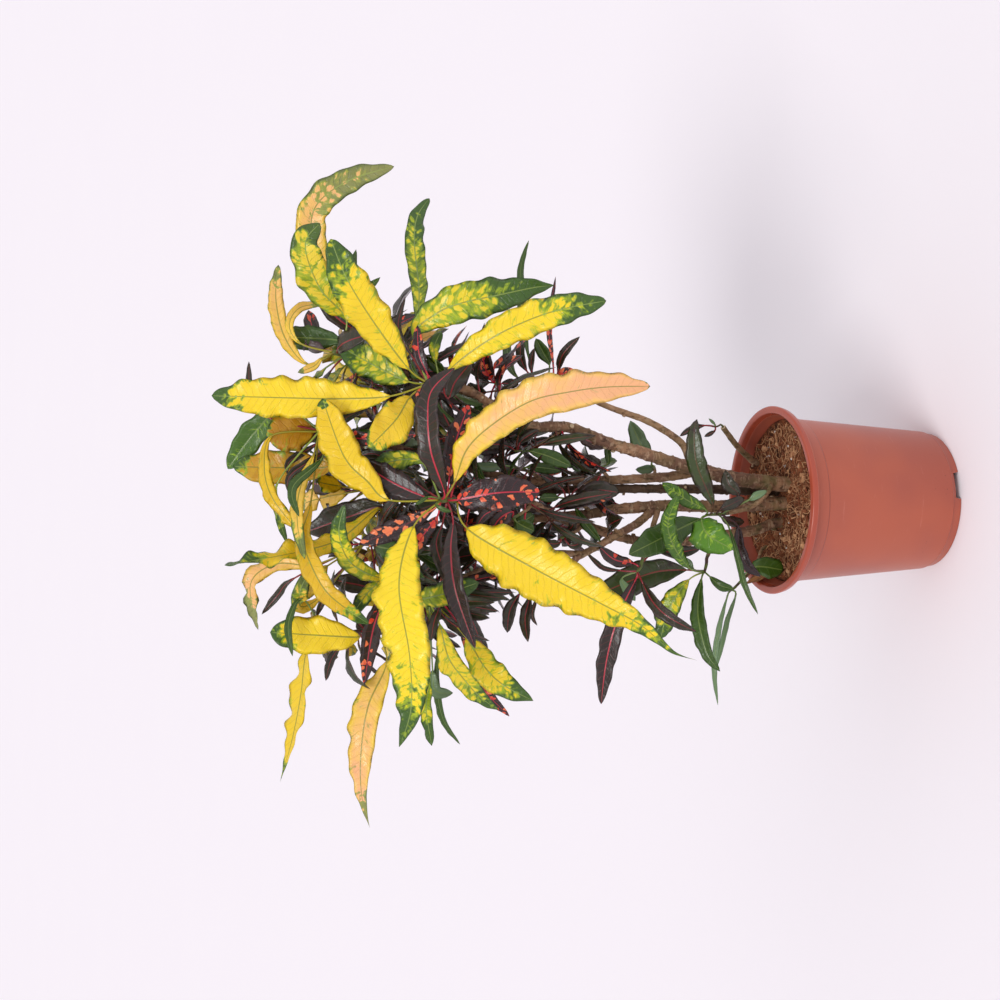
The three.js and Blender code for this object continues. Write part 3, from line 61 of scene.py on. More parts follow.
import bmesh
import bpy
from bpy.props import FloatProperty, FloatVectorProperty, IntProperty, PointerProperty
from mathutils import Matrix, Quaternion, Vector, noise

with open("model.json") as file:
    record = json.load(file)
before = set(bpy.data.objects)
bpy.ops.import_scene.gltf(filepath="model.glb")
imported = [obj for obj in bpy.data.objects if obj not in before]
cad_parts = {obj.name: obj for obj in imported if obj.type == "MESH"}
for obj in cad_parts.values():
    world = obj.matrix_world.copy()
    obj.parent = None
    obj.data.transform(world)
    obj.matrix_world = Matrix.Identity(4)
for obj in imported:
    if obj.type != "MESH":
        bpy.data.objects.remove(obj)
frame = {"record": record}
CAD_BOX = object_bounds()

MM = 0.001
TURN = 2 * math.pi
GOLDEN = math.radians(137.508)  # from one leaf to the next round a twig
UP = Vector((0, 0, 1))
EYE = Vector((0, -2305, 1377))  # where the front view is drawn from

SOIL_LEVEL = 205
SOIL_REACH = 103.4  # the radius that its top fills inside the pot
STEM_DEPTH = 70
STEM_FEET = [(20, -7), (-4, -1), (11, 17), (-29, 12), (49, 74), (-60, 48)]
STEM_CLEARANCE = 14  # between a stem's axis and what lies on the soil
STOUT = 5  # limbs thicker than this are smoother round and more ridged
GAP = 0.35  # between the end of a limb and the twig that grows on
NODE_SPACING = 17  # between the leaf scars that ring a stem
NODE_SWELL = 0.9
OLD_STEM = "dark_stem"
CUT_ENDS = {"cut_stub", "stub_shoot"}
PETIOLE = 1.2  # the least half width of a blade, where it joins its stalk
BIG_LEAF = 3600  # square millimetres: larger blades have a finer mesh and longer waves
CROWD_GAP = 5.5  # between a small leaf and its neighbours

FLOOR_TOP = 12.5
FOOT_HEIGHT = 10
CHAMFER_HEIGHT = 13
LIP_RADIUS = 110.5
LIP_ROUND = 2.6
DRAIN_RADIUS = 5.5
DRAIN_RING = 58
Notch = namedtuple("Notch", "left right flare height")
NOTCH = Notch(3, 34, 2, 8)
Tie = namedtuple("Tie", "seen_at height wall")
TIE = Tie(661, 7, 2)
DRY_LEAF = [(90, 209), (98, 214.5), (105.5, 223), (112.5, 230.2), (119, 238)]
SHARP = math.radians(38)

FLOOR_DROP = 0.0004
CAMERA_AT = Vector((0, -2.3043, 1.377))
LEVEL, DROP = 0.9464, 0.3231  # how far the line of sight runs level and downwards
SURROUND = 0.8  # the strength of the light from all round
LAMPS = [("key", (0.4, 0.75, -1.0), 26, 1.2), ("fill", (-0.8, 0.4, -0.5), 50, 0.25)]


# How each kind of leaf is folded along its rib and waved along its edges: the fold, the depth of
# the long waves, their number, the taper, the depth of the short waves, and the twist in degrees.
Form = namedtuple("Form", "fold ruffle waves taper scallop twist", defaults=(0,))
FORMS = {
    "yellow": Form(0.16, 0.14, 2.5, 0.62, 0.19),
    "pointed": Form(0.16, 0.14, 2.5, 0.95, 0.19),
    "tailed": Form(0.16, 0.14, 3, 1.4, 0.19),
    "ribbon": Form(0.12, 0.3, 3.5, 0.6, 0.3, 62),
    "streaming": Form(0.16, 0.14, 3, 1.9, 0.19),
    "netted": Form(0.12, 0.15, 3, 0.62, 0.19),
    "peach": Form(0.22, 0.11, 2, 0.64, 0.17),
    "dark": Form(0.26, 0.07, 1.5, 0.75, 0.1),
    "spotted": Form(0.24, 0.08, 1.5, 0.72, 0.12),
    "deep": Form(0.24, 0.06, 1.5, 0.85, 0.06),
    "red": Form(0.24, 0.06, 1.5, 0.8, 0.06),
    "green": Form(0.22, 0.08, 1.5, 0.7, 0.09),
    "young": Form(0.26, 0.05, 1, 0.8, 0.03),
    "dry": Form(0.3, 0.1, 1.5, 0.8, 0.1),
}

# The looks: the material and three marks. On sunny leaves the marks are how much of the tip is
# green, how far the green net goes, and how far yellow turns to peach, or below 0 how much painted
# ochre shade and glow of light through the leaf it gets. On dusky ones: red spots, redness of the
# rib, and how green the dark is, or how salmon the spots are below 0. On fresh ones: yellow spots,
# how pale, and how dark.
LOOKS = {
    "yellow": ("sunny", (0.14, 0.1, 0)),
    "pointed": ("sunny", (0.2, 0.15, 0)),
    "streaming": ("sunny", (0.22, 0.08, 0)),
    "tailed": ("sunny", (0.35, 0.1, 0)),
    "netted": ("sunny", (0.3, 0.65, 0)),
    "peach": ("sunny", (0.12, 0.1, 0.55)),
    "ochre": ("sunny", (0.2, 0.3, 0.45)),
    "lime": ("sunny", (0.2, 0.5, 0)),
    "dark": ("dusky", (0, 0.5, 0.35)),
    "deep": ("dusky", (0, 0.25, 0.7)),
    "spotted": ("dusky", (0.4, 0.9, 0.1)),
    "red": ("dusky", (1.2, 1, 0)),
    "green": ("fresh", (0.05, 0, 0.8)),
    "young": ("fresh", (0, 0.7, 0.1)),
}
SHADES = ["sunny", "dusky", "fresh"]

Limb = namedtuple("Limb", "end radii points")
Blade = namedtuple("Blade", "kind wide turn slide points look marks")
Rule = namedtuple("Rule", "count length wide kinds trials")
Shoot = namedtuple("Shoot", "radii twig leaves rule")
Leaf = namedtuple("Leaf", "kind wide turn route stalk facing shade marks")
STEMS, SHOOTS = {}, {}


def stem(name, *limbs):
    STEMS[name] = limbs


def limb(end, radii, *points):
    """A stretch of wood, named for what stands on its end, through points drawn from the front."""
    return Limb(end, radii, points)


def foot(x, y):
    """The buried foot of a stem and where it leaves the soil."""
    return Vector((x, y, SOIL_LEVEL - STEM_DEPTH)), Vector((x, y, SOIL_LEVEL))


def shoot(name, radii, twig, *leaves, rule=None):
    SHOOTS[name] = Shoot(radii, twig, leaves, rule)


def leaf(kind, wide, *points, turn=0, slide=0, look=None, marks=None):
    """A leaf by points drawn from the front, base to tip, slid along the line of sight."""
    return Blade(kind, wide, turn, slide, points, look or kind, marks)


stem(
    "right_stem",
    limb("right_crown", (10.5, 4.6), *foot(20, -7), (26, 268, 10), (34, 309, 12), (45, 355, 14),
        (58, 400, 16), (70, 446, 18), (89, 500, 20), (91, 552, 24), (113, 597, 32), (132, 628, 42),
        (137, 650, 50)),
    limb("right_mid_shoot", (4.8, 3.2), (41, 335, 13), (54, 340, 6), (72, 350, 4), (90, 378, 2),
        (101, 402, 0), (109, 428, 0), (117, 452, -4), (129, 480, -8), (138, 505, -10)),
    limb("centre_low_shoot", (3.6, 2.4), (21, 222, 8), (12, 228, 24), (-1, 240, 31),
        (-10, 256, 33), (-15, 276, 34), (-17, 288, 34)),
    limb("back_right_crown", (6, 4), (108, 588, 29), (121, 612, 12), (137, 650, -6),
        (148, 700, -22), (160, 742, -32)),
    limb("far_right_crown", (4.6, 3.6), (134, 642, -2), (133, 660, -40), (130, 680, -80),
        (128, 700, -104)),
    limb("right_upper_shoot", (2.6, 2.2), (104, 580, 28), (118, 584, 14), (130, 590, 8)),
    limb("thin_twig_shoot", (2, 1.6), (84, 513, 20), (72, 530, 22), (62, 550, 22)),
    limb("back_centre_crown", (6, 4), (37, 325, 12), (30, 360, 0), (27, 400, -6), (25, 440, -10),
        (24, 500, -16), (23, 545, -22), (31, 600, -30), (45, 655, -36), (60, 710, -38),
        (74, 765, -34)),
    limb("inner_shoot_a", (2.6, 2), (25, 446, -11), (32, 452, -4), (37, 458, -2)),
    limb("inner_shoot_b", (2.4, 2), (27, 392, -5), (33, 386, -16), (38, 386, -24)),
    limb("inner_shoot_c", (2.6, 2), (23.5, 535, -20), (31, 546, -12), (36, 556, -10)),
    limb("inner_shoot_d", (2.8, 2.2), (36, 620, -32), (50, 628, -22), (62, 636, -16)),
)
stem(
    "centre_stem",
    limb("back_left_crown", (9, 4.2), *foot(-4, -1), (-7, 260, 2), (-8, 310, 2), (-7, 360, 2),
        (-8, 390, 0), (-12, 440, -6), (-18, 480, -12), (-22, 540, -18), (-30, 600, -24),
        (-42, 660, -28), (-48, 708, -30)),
    limb("cut_stub", (5.4, 3.8), (-8, 384, 1), (-28, 408, 10), (-44, 438, 20), (-59, 466, 24),
        (-73, 492, 24), (-90, 505, 24)),
    limb("lower_left_crown", (4.2, 3.4), (-67, 481, 24), (-66, 500, 18), (-66, 522, 12),
        (-73, 560, 4), (-82, 605, -4), (-96, 642, -4)),
    limb("left_crown", (3.8, 3.4), (-83, 606, -4), (-94, 634, -22), (-116, 672, -30),
        (-136, 706, -26), (-147, 730, -18)),
    limb("left_mid_shoot", (2.2, 1.8), (-72, 552, 6), (-84, 558, 10), (-95, 560, 12)),
    limb("left_low_shoot", (4, 2.6), (-7, 380, 1), (-20, 384, 14), (-35, 389, 23), (-50, 394, 28),
        (-64, 399, 30), (-73, 402, 30)),
    limb("inner_shoot_e", (2.6, 2), (-16, 470, -10), (-8, 480, 2), (-3, 490, 6)),
    limb("inner_shoot_f", (2.6, 2), (-24, 556, -19), (-32, 560, -6), (-38, 566, 0)),
    limb("far_left_crown", (4.6, 3.6), (-27, 580, -22), (-48, 610, -60), (-74, 640, -92),
        (-92, 664, -108)),
)
stem(
    "dark_stem",
    limb("far_crown", (6.6, 4), *foot(11, 17), (13, 270, -14), (14, 330, -12), (14, 400, -12),
        (14, 450, -18), (13, 500, -32), (8, 560, -56), (4, 620, -80), (6, 680, -104),
        (10, 715, -114)),
    limb("far_low_left_shoot", (3.6, 3), (9, 545, -50), (-14, 575, -84), (-34, 600, -106)),
    limb("far_low_right_shoot", (3.6, 3), (11, 525, -42), (34, 570, -84), (56, 600, -112)),
)
stem(
    "left_stem",
    limb("front_crown", (7, 4.4), *foot(-29, 12), (-38, 246, -8), (-43, 280, -6), (-47, 310, -4),
        (-53, 350, -2), (-52, 400, -2), (-44, 441, -4), (-33, 472, 0), (-27, 500, 6),
        (-14, 530, 16), (-2, 556, 28), (2, 590, 42), (1, 620, 56)),
    limb("left_rim_side_shoot", (3, 2.4), (-47, 306, -4), (-58, 308, 8), (-70, 313, 14)),
    limb("inner_shoot_g", (2.6, 2), (-31, 482, 2), (-38, 490, 14), (-42, 500, 18)),
    limb("inner_shoot_h", (2.6, 2), (-5, 549, 24), (-12, 556, 38), (-18, 566, 42)),
)
stem(
    "stub_stem",
    limb("stub_shoot", (4.4, 3.6), *foot(49, 74), (55, 257, -68), (69, 273, -58), (82, 284, -52),
        (92, 292, -48)),
)
stem(
    "rim_stem",
    limb("rim_shoot", (2.6, 1.9), *foot(-60, 48), (-76, 243, -40), (-92, 255, -26),
        (-103, 267, -12)),
)

# The shoots, each with its drawn leaves. Those after the word small aren't in the solids.
shoot(
    "front_crown", (4.4, 3), [(0, 640, 66), (0, 668, 74)],
    leaf("pointed", 56, (-32, 700, 84), (-100, 718, 112), (-185, 705, 130), (-250, 703, 136),
        (-296, 718, 138), turn=8, marks=(0.2, 0.12, 0)),
    leaf("streaming", 68, (-35, 632, 92), (-83, 548, 138), (-129, 457, 178), (-156, 405, 196),
        (-190, 362, 204), (-202, 328, 204)),
    leaf("peach", 47, (22, 648, 92), (62, 632, 128), (93, 598, 158), (121, 550, 190),
        (133, 500, 212), (140, 450, 226), (142, 392, 236), turn=-12, marks=(-0.1, 0, 0.95)),
    leaf("spotted", 40, (0, 646, 92), (8, 600, 118), (10, 566, 126), (9, 538, 126), turn=6,
        marks=(0.54, 1, 0)),
    leaf("dark", 25, (-25, 650, 84), (-60, 653, 96), (-110, 647, 104), (-180, 622, 104), turn=10,
        marks=(0.12, 0.6, 0.1)),
    leaf("dark", 30, (9, 661, 84), (58, 678, 104), (101, 682, 108), (132, 677, 106),
        (160, 648, 104), turn=-14, marks=(0.05, 1, 0.2)),
    leaf("spotted", 25, (26, 655, 72), (70, 647, 84), (116, 630, 84), marks=(0.75, 1, 0)),
    leaf("spotted", 25, (-12, 676, 66), (-34, 720, 46), (-53, 768, 26), marks=(1.05, 0.2, -1)),
    leaf("dark", 34, (3, 684, 66), (22, 728, 44), (46, 767, 20), marks=(0.1, 0.9, 0.1)),
    leaf("yellow", 44, (0, 731, 52), (22, 757, 36), (52, 786, 20), (120, 812, 0), slide=9,
        marks=(-0.15, 0.03, -0.2)),
    leaf("spotted", 18, (-20, 670, 74), (-40, 686, 76), (-64, 701, 70), turn=12,
        marks=(0.8, 1, 0)),
    leaf("netted", 24, (44, 688, 44), (48, 718, 36), (38, 755, 26), slide=-9,
        marks=(0.2, 0.74, 0)),
    leaf("dark", 14, (30, 712, 40), (55, 748, 26), (45, 784, 14), slide=-36),
    leaf("dark", 16, (-30, 664, 62), (-57, 671, 64), (-110, 650, 66)),
    # small
    leaf("green", 6, (-5, 672, 86), (-11, 664, 92), (-14, 652, 94)),
    leaf("green", 5, (4, 680, 84), (-1, 690, 88), (-6, 698, 88)),
    leaf("spotted", 16, (14, 650, 78), (28, 643, 90), (42, 634, 92)),
)
shoot(
    "right_crown", (4.6, 3), [(138, 664, 56), (140, 684, 60)],
    leaf("yellow", 50, (124, 729, 40), (120, 790, 6), (120, 860, -24), (121, 944, -60), turn=10,
        marks=(0.06, 0.05, 0)),
    leaf("yellow", 44, (124, 704, 66), (96, 722, 84), (62, 756, 96), turn=-20,
        marks=(0.04, 0.1, 0.05)),
    leaf("yellow", 47, (157, 706, 62), (210, 748, 68), (262, 782, 72), (309, 802, 74), turn=10,
        marks=(0.18, 0.14, 0)),
    leaf("yellow", 40, (155, 657, 74), (179, 628, 96), (204, 588, 122), (225, 541, 144),
        (237, 501, 156), (247, 451, 164), marks=(0.22, 0.16, 0)),
    leaf("pointed", 46, (196, 700, 48), (224, 672, 66), (238, 640, 82), (250, 590, 96),
        (260, 547, 104), (264, 520, 106), marks=(0.42, 0.5, 0)),
    leaf("netted", 24, (210, 694, 22), (252, 693, 2), (310, 699, -20), (341, 695, -34),
        (363, 680, -44), turn=16, marks=(0.2, 0.75, 0)),
    leaf("spotted", 14, (150, 682, 62), (175, 693, 60), (210, 695, 54), slide=9,
        marks=(0.9, 1, 0)),
    leaf("dark", 22, (122, 656, 66), (142, 648, 72), (167, 627, 72)),
    leaf("netted", 14, (165, 672, 40), (184, 674, 34), (204, 665, 30)),
    leaf("netted", 38, (142, 706, 24), (160, 748, -6), (184, 793, -40), slide=18),
    # small
    leaf("spotted", 14, (132, 684, 66), (127, 690, 72), (119, 694, 76)),
    leaf("dark", 8, (170, 700, 40), (205, 719, 30), (244, 710, 24)),
    leaf("green", 14, (152, 660, 44), (158, 668, 28), (172, 684, 16)),
)
shoot(
    "back_right_crown", (3.9, 2.8), [(168, 768, -32), (175, 800, -30)],
    leaf("green", 30, (188, 790, -22), (191, 825, -40), (191, 864, -62), slide=-27),
    leaf("yellow", 40, (214, 783, -14), (250, 815, 6), (300, 833, 24), (327, 815, 34), slide=-18,
        marks=(0.15, 0.4, 0.1)),
    leaf("peach", 20, (160, 830, -40), (190, 857, -60), (235, 868, -80), (276, 865, -96),
        marks=(0.1, 0.1, 0.6)),
    leaf("peach", 12, (184, 838, -52), (205, 852, -66), (226, 840, -80), (232, 811, -90), slide=27,
        marks=(0.1, 0.1, 0.5)),
    leaf("spotted", 20, (180, 812, -50), (195, 822, -64), (224, 829, -80), slide=-18),
    leaf("dark", 20, (196, 767, -24), (222, 800, -24), (279, 827, -22), slide=-9,
        marks=(0.1, 0.7, 0.2)),
    leaf("green", 37, (232, 786, -56), (292, 820, -60), (343, 822, -50), (378, 782, -34),
        (399, 724, -20), look="ochre", marks=(0.36, 0.16, 0.85)),
    leaf("green", 12, (212, 768, -30), (252, 778, -46), (298, 771, -60)),
    leaf("green", 12, (205, 758, -34), (240, 764, -20), (266, 741, -8), slide=9),
    # small
    leaf("peach", 10, (168, 812, -24), (158, 822, -22), (150, 842, -22)),
    rule=Rule(9, 150, 30, ["netted", "dark", "peach"], [3, 5, 8, 10, 16, 23, 39, 42, 58]),
)
shoot(
    "back_centre_crown", (4, 2.6), [(78, 785, -32), (82, 818, -30)],
    leaf("peach", 42, (42, 800, -38), (38, 850, -64), (39, 919, -92), marks=(0.04, 0.14, -0.85)),
    leaf("peach", 50, (82, 822, -24), (80, 850, -10), (75, 880, 6), turn=6, slide=-45,
        marks=(0, 0.12, -0.95)),
    leaf("green", 33, (108, 858, -46), (80, 892, -74), (36, 925, -100), slide=-18,
        marks=(0.3, 0, 0.5)),
    leaf("ribbon", 17, (76, 872, -36), (40, 882, -30), (2, 872, -20), (-40, 838, -6), turn=-30,
        look="yellow", marks=(0.05, 0.05, -0.3)),
    leaf("peach", 16, (55, 822, -16), (10, 840, 6), (-30, 842, 24), (-70, 833, 40),
        marks=(0.25, 0.05, 0.4)),
    leaf("green", 12, (50, 812, -6), (15, 848, 4), (-20, 840, 10), slide=27),
    leaf("dark", 9, (98, 880, -56), (130, 898, -76), (162, 900, -92)),
    leaf("netted", 10, (20, 866, -60), (-20, 864, -84), (-50, 855, -104), slide=9),
    leaf("peach", 26, (-2, 826, 14), (-40, 836, 34), (-76, 826, 52), (-113, 803, 66),
        (-148, 755, 76), slide=-27, marks=(0.1, 0.08, -0.45)),
    # small
    leaf("dark", 10, (60, 806, -20), (30, 850, -14), (8, 853, -12)),
    leaf("dark", 10, (66, 820, -46), (45, 852, -58), (30, 854, -60)),
    rule=Rule(9, 150, 32, ["peach", "dark", "green"], [0, 2, 10, 44, 60, 70]),
)
shoot(
    "back_left_crown", (4.2, 2.6), [(-50, 724, -28), (-52, 764, -26)],
    leaf("ribbon", 30, (-10, 742, -6), (-46, 790, -2), (-60, 835, 6), (-70, 890, 18),
        (-76, 929, 30), turn=8, look="peach", marks=(0.18, 0.15, -0.25)),
    leaf("green", 24, (-92, 736, -8), (-76, 776, 16), (-40, 792, 36), (-5, 785, 52), look="lime",
        marks=(0.2, 0.45, 0)),
    leaf("dark", 38, (-10, 738, 4), (-20, 780, -8), (-38, 832, -26), slide=-36),
    leaf("dark", 22, (-100, 748, -20), (-100, 772, -34), (-93, 802, -50)),
    leaf("ribbon", 23, (-76, 820, -44), (-75, 868, -70), (-98, 898, -84), (-152, 889, -84),
        turn=-12, look="peach", marks=(0.25, 0.05, 0.9)),
    leaf("yellow", 26, (-78, 806, -30), (-96, 824, -10), (-122, 846, 6), marks=(0.1, 0.15, 0.25)),
    leaf("spotted", 22, (-95, 727, 14), (-150, 749, 34), (-220, 761, 54)),
    leaf("dark", 10, (-92, 846, -54), (-112, 866, -74), (-134, 885, -90)),
    leaf("netted", 18, (-92, 742, 0), (-112, 758, 6), (-136, 776, 8), slide=-27),
    # small
    leaf("dark", 10, (-84, 790, -40), (-108, 806, -56), (-139, 820, -70)),
    leaf("netted", 20, (-112, 812, -20), (-126, 838, -8), (-104, 838, 8), (-77, 822, 16), turn=30,
        look="lime", marks=(0.5, 0.1, 0.3)),
    rule=Rule(9, 150, 30, ["dark", "peach", "spotted"], [4, 7, 10, 20, 22, 23, 41, 43, 59]),
)
shoot(
    "left_crown", (3.4, 2.2), [(-154, 752, -10), (-162, 812, -8)],
    leaf("tailed", 34, (-176, 830, -8), (-230, 838, 14), (-280, 848, 36), (-331, 863, 60), turn=46,
        look="yellow", marks=(0.1, 0.08, 0.05)),
    leaf("yellow", 45, (-163, 768, 10), (-160, 815, 4), (-155, 875, -10), marks=(0.16, 0.06, 0)),
    leaf("tailed", 36, (-193, 733, 4), (-245, 756, 4), (-302, 765, -4), (-352, 764, -14),
        (-391, 754, -22), turn=8, marks=(0.1, 0.05, 0.9)),
    leaf("green", 9, (-116, 836, 4), (-145, 853, 12), (-184, 848, 18)),
    leaf("dark", 10, (-172, 790, -14), (-190, 802, -30), (-214, 808, -44)),
    rule=Rule(8, 140, 30, ["dark", "yellow", "green"], [4, 22, 30, 51]),
)
shoot(
    "lower_left_crown", (3.4, 2.2), [(-108, 658, 2), (-124, 682, 8)],
    leaf("netted", 28, (-122, 703, 34), (-114, 665, 62), (-100, 617, 74), slide=18),
    leaf("pointed", 36, (-166, 634, 34), (-203, 610, 54), (-226, 585, 70), (-246, 547, 80),
        turn=-8, marks=(0.32, 0.3, 0)),
    leaf("pointed", 29, (-150, 667, 20), (-190, 656, 14), (-216, 637, 6), (-238, 617, 0),
        (-256, 592, -6), turn=10, marks=(0.25, 0.32, 0)),
    leaf("spotted", 16, (-148, 645, 14), (-185, 627, -6), (-228, 612, -26), (-264, 578, -42),
        marks=(0.5, 1, 0)),
    leaf("green", 10, (-172, 669, 2), (-218, 671, -20), (-264, 663, -40), (-296, 641, -56),
        turn=20),
    leaf("netted", 16, (-215, 680, 8), (-250, 684, 20), (-296, 677, 34), turn=20),
    leaf("young", 16, (-205, 676, -14), (-230, 672, -16), (-233, 650, -16), slide=9),
    leaf("dark", 12, (-128, 668, 46), (-146, 674, 52), (-170, 678, 54)),
    leaf("dark", 13, (-132, 632, 0), (-160, 620, -26), (-196, 603, -50)),
    leaf("dark", 11, (-118, 636, -14), (-128, 622, -34), (-140, 604, -50)),
    # small
    leaf("dark", 10, (-110, 628, 14), (-112, 602, 14), (-113, 574, 14)),
)
shoot(
    "left_mid_shoot", (1.8, 1.5), [(-106, 560, 12), (-114, 560, 12)],
    leaf("dark", 16, (-116, 566, 12), (-136, 578, -4), (-162, 581, -20)),
    leaf("dark", 14, (-118, 552, 18), (-145, 558, 34), (-174, 554, 46)),
    # small
    leaf("dark", 6, (-120, 544, 8), (-140, 549, 4), (-154, 542, 2)),
)
shoot(
    "left_low_shoot", (2.6, 1.8), [(-82, 404, 30), (-90, 410, 30)],
    leaf("spotted", 25, (-98, 411, 26), (-130, 428, 34), (-165, 442, 30), (-206, 452, 14),
        (-253, 458, -4), marks=(0, 1, 0.1)),
    leaf("dark", 17, (-100, 404, 40), (-128, 388, 62), (-148, 365, 78), (-166, 329, 88), turn=10),
    leaf("young", 12, (-97, 430, 10), (-110, 424, 6), (-126, 412, 2)),
    leaf("spotted", 16, (-79, 414, 26), (-74, 440, 30), (-57, 461, 34)),
    leaf("dark", 7, (-88, 430, 22), (-84, 456, 20), (-64, 478, 18), turn=20, slide=-9),
    leaf("dark", 15, (-64, 384, 34), (-66, 356, 40), (-61, 323, 44), slide=-9),
)
shoot(
    "left_rim_side_shoot", (2.4, 1.7), [(-80, 315, 18), (-92, 318, 20)],
    leaf("green", 38, (-88, 343, 12), (-90, 385, -4), (-104, 428, -16), (-119, 466, -24),
        look="deep", marks=(0, 0.4, 1)),
    leaf("netted", 28, (-101, 340, 28), (-135, 366, 14), (-174, 378, -4), marks=(0.1, 0.6, 0)),
    leaf("green", 20, (-100, 322, 34), (-142, 327, 50), (-192, 315, 60), (-217, 296, 64), turn=12),
    leaf("green", 12, (-97, 310, 26), (-108, 296, 36), (-113, 277, 40)),
    leaf("young", 10, (-88, 332, 8), (-80, 340, 4), (-71, 348, 2)),
    leaf("netted", 20, (-86, 338, 46), (-58, 360, 60), (-28, 368, 66), (6, 354, 66), turn=16,
        look="green", marks=(0.3, 0, 0.5)),
)
shoot(
    "rim_shoot", (1.9, 1.5), [(-112, 277, -4), (-116, 284, -2)],
    leaf("young", 8, (-122, 286, -2), (-165, 298, -20), (-215, 304, -36), (-260, 299, -50)),
    leaf("young", 7, (-120, 274, 0), (-150, 285, 8), (-185, 294, 14), (-216, 302, 16)),
    leaf("green", 27, (-87, 254, 18), (-85, 236, 20), (-90, 206, 18)),
)
shoot(
    "centre_low_shoot", (2.4, 1.7), [(-18, 300, 36), (-19, 316, 38)],
    leaf("pointed", 42, (-24, 322, 56), (-44, 313, 76), (-63, 277, 83), look="green",
        marks=(0.28, 0, 0.05)),
    leaf("green", 36, (-24, 324, 28), (-38, 356, 12), (-54, 390, 0), (-68, 421, -6), slide=54),
    leaf("netted", 18, (-12, 316, 46), (0, 342, 46), (22, 376, 42), look="green",
        marks=(0.35, 0, 0.6)),
    leaf("green", 24, (-6, 306, 44), (44, 328, 56), (85, 332, 62), (102, 328, 64), turn=8,
        look="deep", marks=(0, 0.12, 1)),
    leaf("dark", 14, (-12, 296, 46), (-6, 282, 52), (3, 262, 54), marks=(0, 0.1, 0.3)),
    leaf("dark", 14, (-22, 294, 28), (-27, 280, 26), (-28, 262, 26), slide=-9,
        marks=(0, 0.1, 0.3)),
    leaf("dark", 17, (4, 270, 50), (20, 284, 52), (38, 289, 52), slide=-9, marks=(0, 0.1, 0.4)),
    leaf("green", 8, (-34, 284, 56), (-79, 270, 66), (-110, 261, 72), (-146, 243, 76)),
    leaf("young", 16, (-32, 272, 44), (-58, 270, 50), (-81, 260, 54), (-98, 239, 56), look="dark",
        marks=(0, 0.06, 0)),
    # small
    leaf("young", 10, (0, 256, 50), (6, 244, 56), (12, 230, 58)),
)
shoot(
    "right_mid_shoot", (3.2, 2), [(144, 522, -12), (149, 548, -12)],
    leaf("dark", 11, (158, 515, -8), (180, 508, 10), (202, 486, 26)),
    leaf("red", 9, (162, 521, -16), (213, 527, -34), (275, 518, -50), turn=40),
    leaf("red", 14, (152, 514, 2), (157, 504, 6), (159, 492, 8), slide=9),
    leaf("green", 16, (166, 526, -24), (180, 534, -28), (198, 544, -30), slide=18),
    leaf("green", 10, (168, 552, -30), (225, 562, -50), (280, 564, -66), (318, 553, -76), turn=20),
    leaf("dark", 12, (158, 556, -18), (176, 564, -20), (197, 562, -22)),
    leaf("green", 12, (150, 568, -26), (172, 580, -50), (204, 581, -70)),
    # small
    leaf("dark", 8, (156, 549, -4), (170, 550, -2), (186, 546, 0)),
    rule=Rule(4, 90, 18, ["dark", "red"], [9, 27]),
)
shoot(
    "right_upper_shoot", (2.2, 1.8), [(138, 592, 6), (144, 597, 6)],
    leaf("red", 22, (146, 602, 10), (166, 611, 24), (193, 612, 36)),
    leaf("dark", 12, (142, 588, 2), (142, 578, 0), (141, 566, 0)),
    leaf("spotted", 15, (160, 598, -6), (168, 586, -8), (179, 572, -8)),
    leaf("dark", 12, (148, 606, -6), (156, 622, -12), (170, 636, -16)),
)
shoot(
    "stub_shoot", (1.4, 1.1), [(93, 300, -46), (93, 306, -45)],
    leaf("young", 4, (95, 303, -44), (99, 307, -44), (103, 312, -44)),
    leaf("dark", 9, (94, 318, -44), (90, 334, -42), (80, 352, -40)),
    # small
    leaf("dark", 6, (88, 303, -46), (84, 309, -46), (80, 318, -46)),
)
shoot(
    "thin_twig_shoot", (1.6, 1.3), [(60, 560, 22), (60, 572, 22)],
    leaf("dark", 14, (64, 576, 20), (68, 594, 18), (64, 614, 14)),
    leaf("green", 18, (60, 552, 32), (54, 528, 40), (41, 497, 44)),
    # small
    leaf("dark", 11, (68, 566, 24), (76, 558, 28), (86, 540, 30)),
)
shoot(
    "inner_shoot_a", (2, 1.5), [(41, 466, -1), (43, 474, 0)],
    leaf("dark", 26, (38, 462, 8), (44, 472, 14), (55, 484, 18)),
    leaf("young", 12, (38, 482, -4), (42, 490, -4), (50, 496, -4)),
    # small
    leaf("green", 9, (44, 450, 6), (52, 448, 8), (70, 451, 8)),
)
shoot(
    "inner_shoot_b", (2, 1.5), [(42, 388, -30), (44, 391, -32)],
    leaf("young", 22, (50, 390, -34), (68, 404, -36), (99, 419, -38)),
    leaf("young", 12, (42, 386, -40), (38, 396, -46), (38, 412, -50)),
)
shoot(
    "inner_shoot_c", (2, 1.5), [(38, 564, -8), (40, 572, -6)],
    leaf("green", 14, (40, 556, 0), (40, 538, 6), (36, 510, 10)),
    leaf("young", 12, (42, 584, -2), (40, 604, 0), (44, 626, 2)),
    leaf("dark", 14, (30, 578, -12), (22, 594, -12), (10, 606, -10)),
)
shoot(
    "inner_shoot_d", (2.2, 1.7), [(70, 642, -12), (78, 650, -10)],
    leaf("dark", 24, (88, 654, 0), (104, 662, 8), (124, 667, 12)),
    leaf("green", 22, (92, 628, 0), (104, 618, 6), (118, 604, 10), slide=-9),
    leaf("dark", 16, (74, 664, 6), (74, 684, 10), (86, 706, 12)),
    leaf("spotted", 18, (60, 622, 0), (62, 604, 8), (70, 580, 12), slide=-27),
    rule=Rule(4, 90, 22, ["dark", "spotted"], [3, 19]),
)
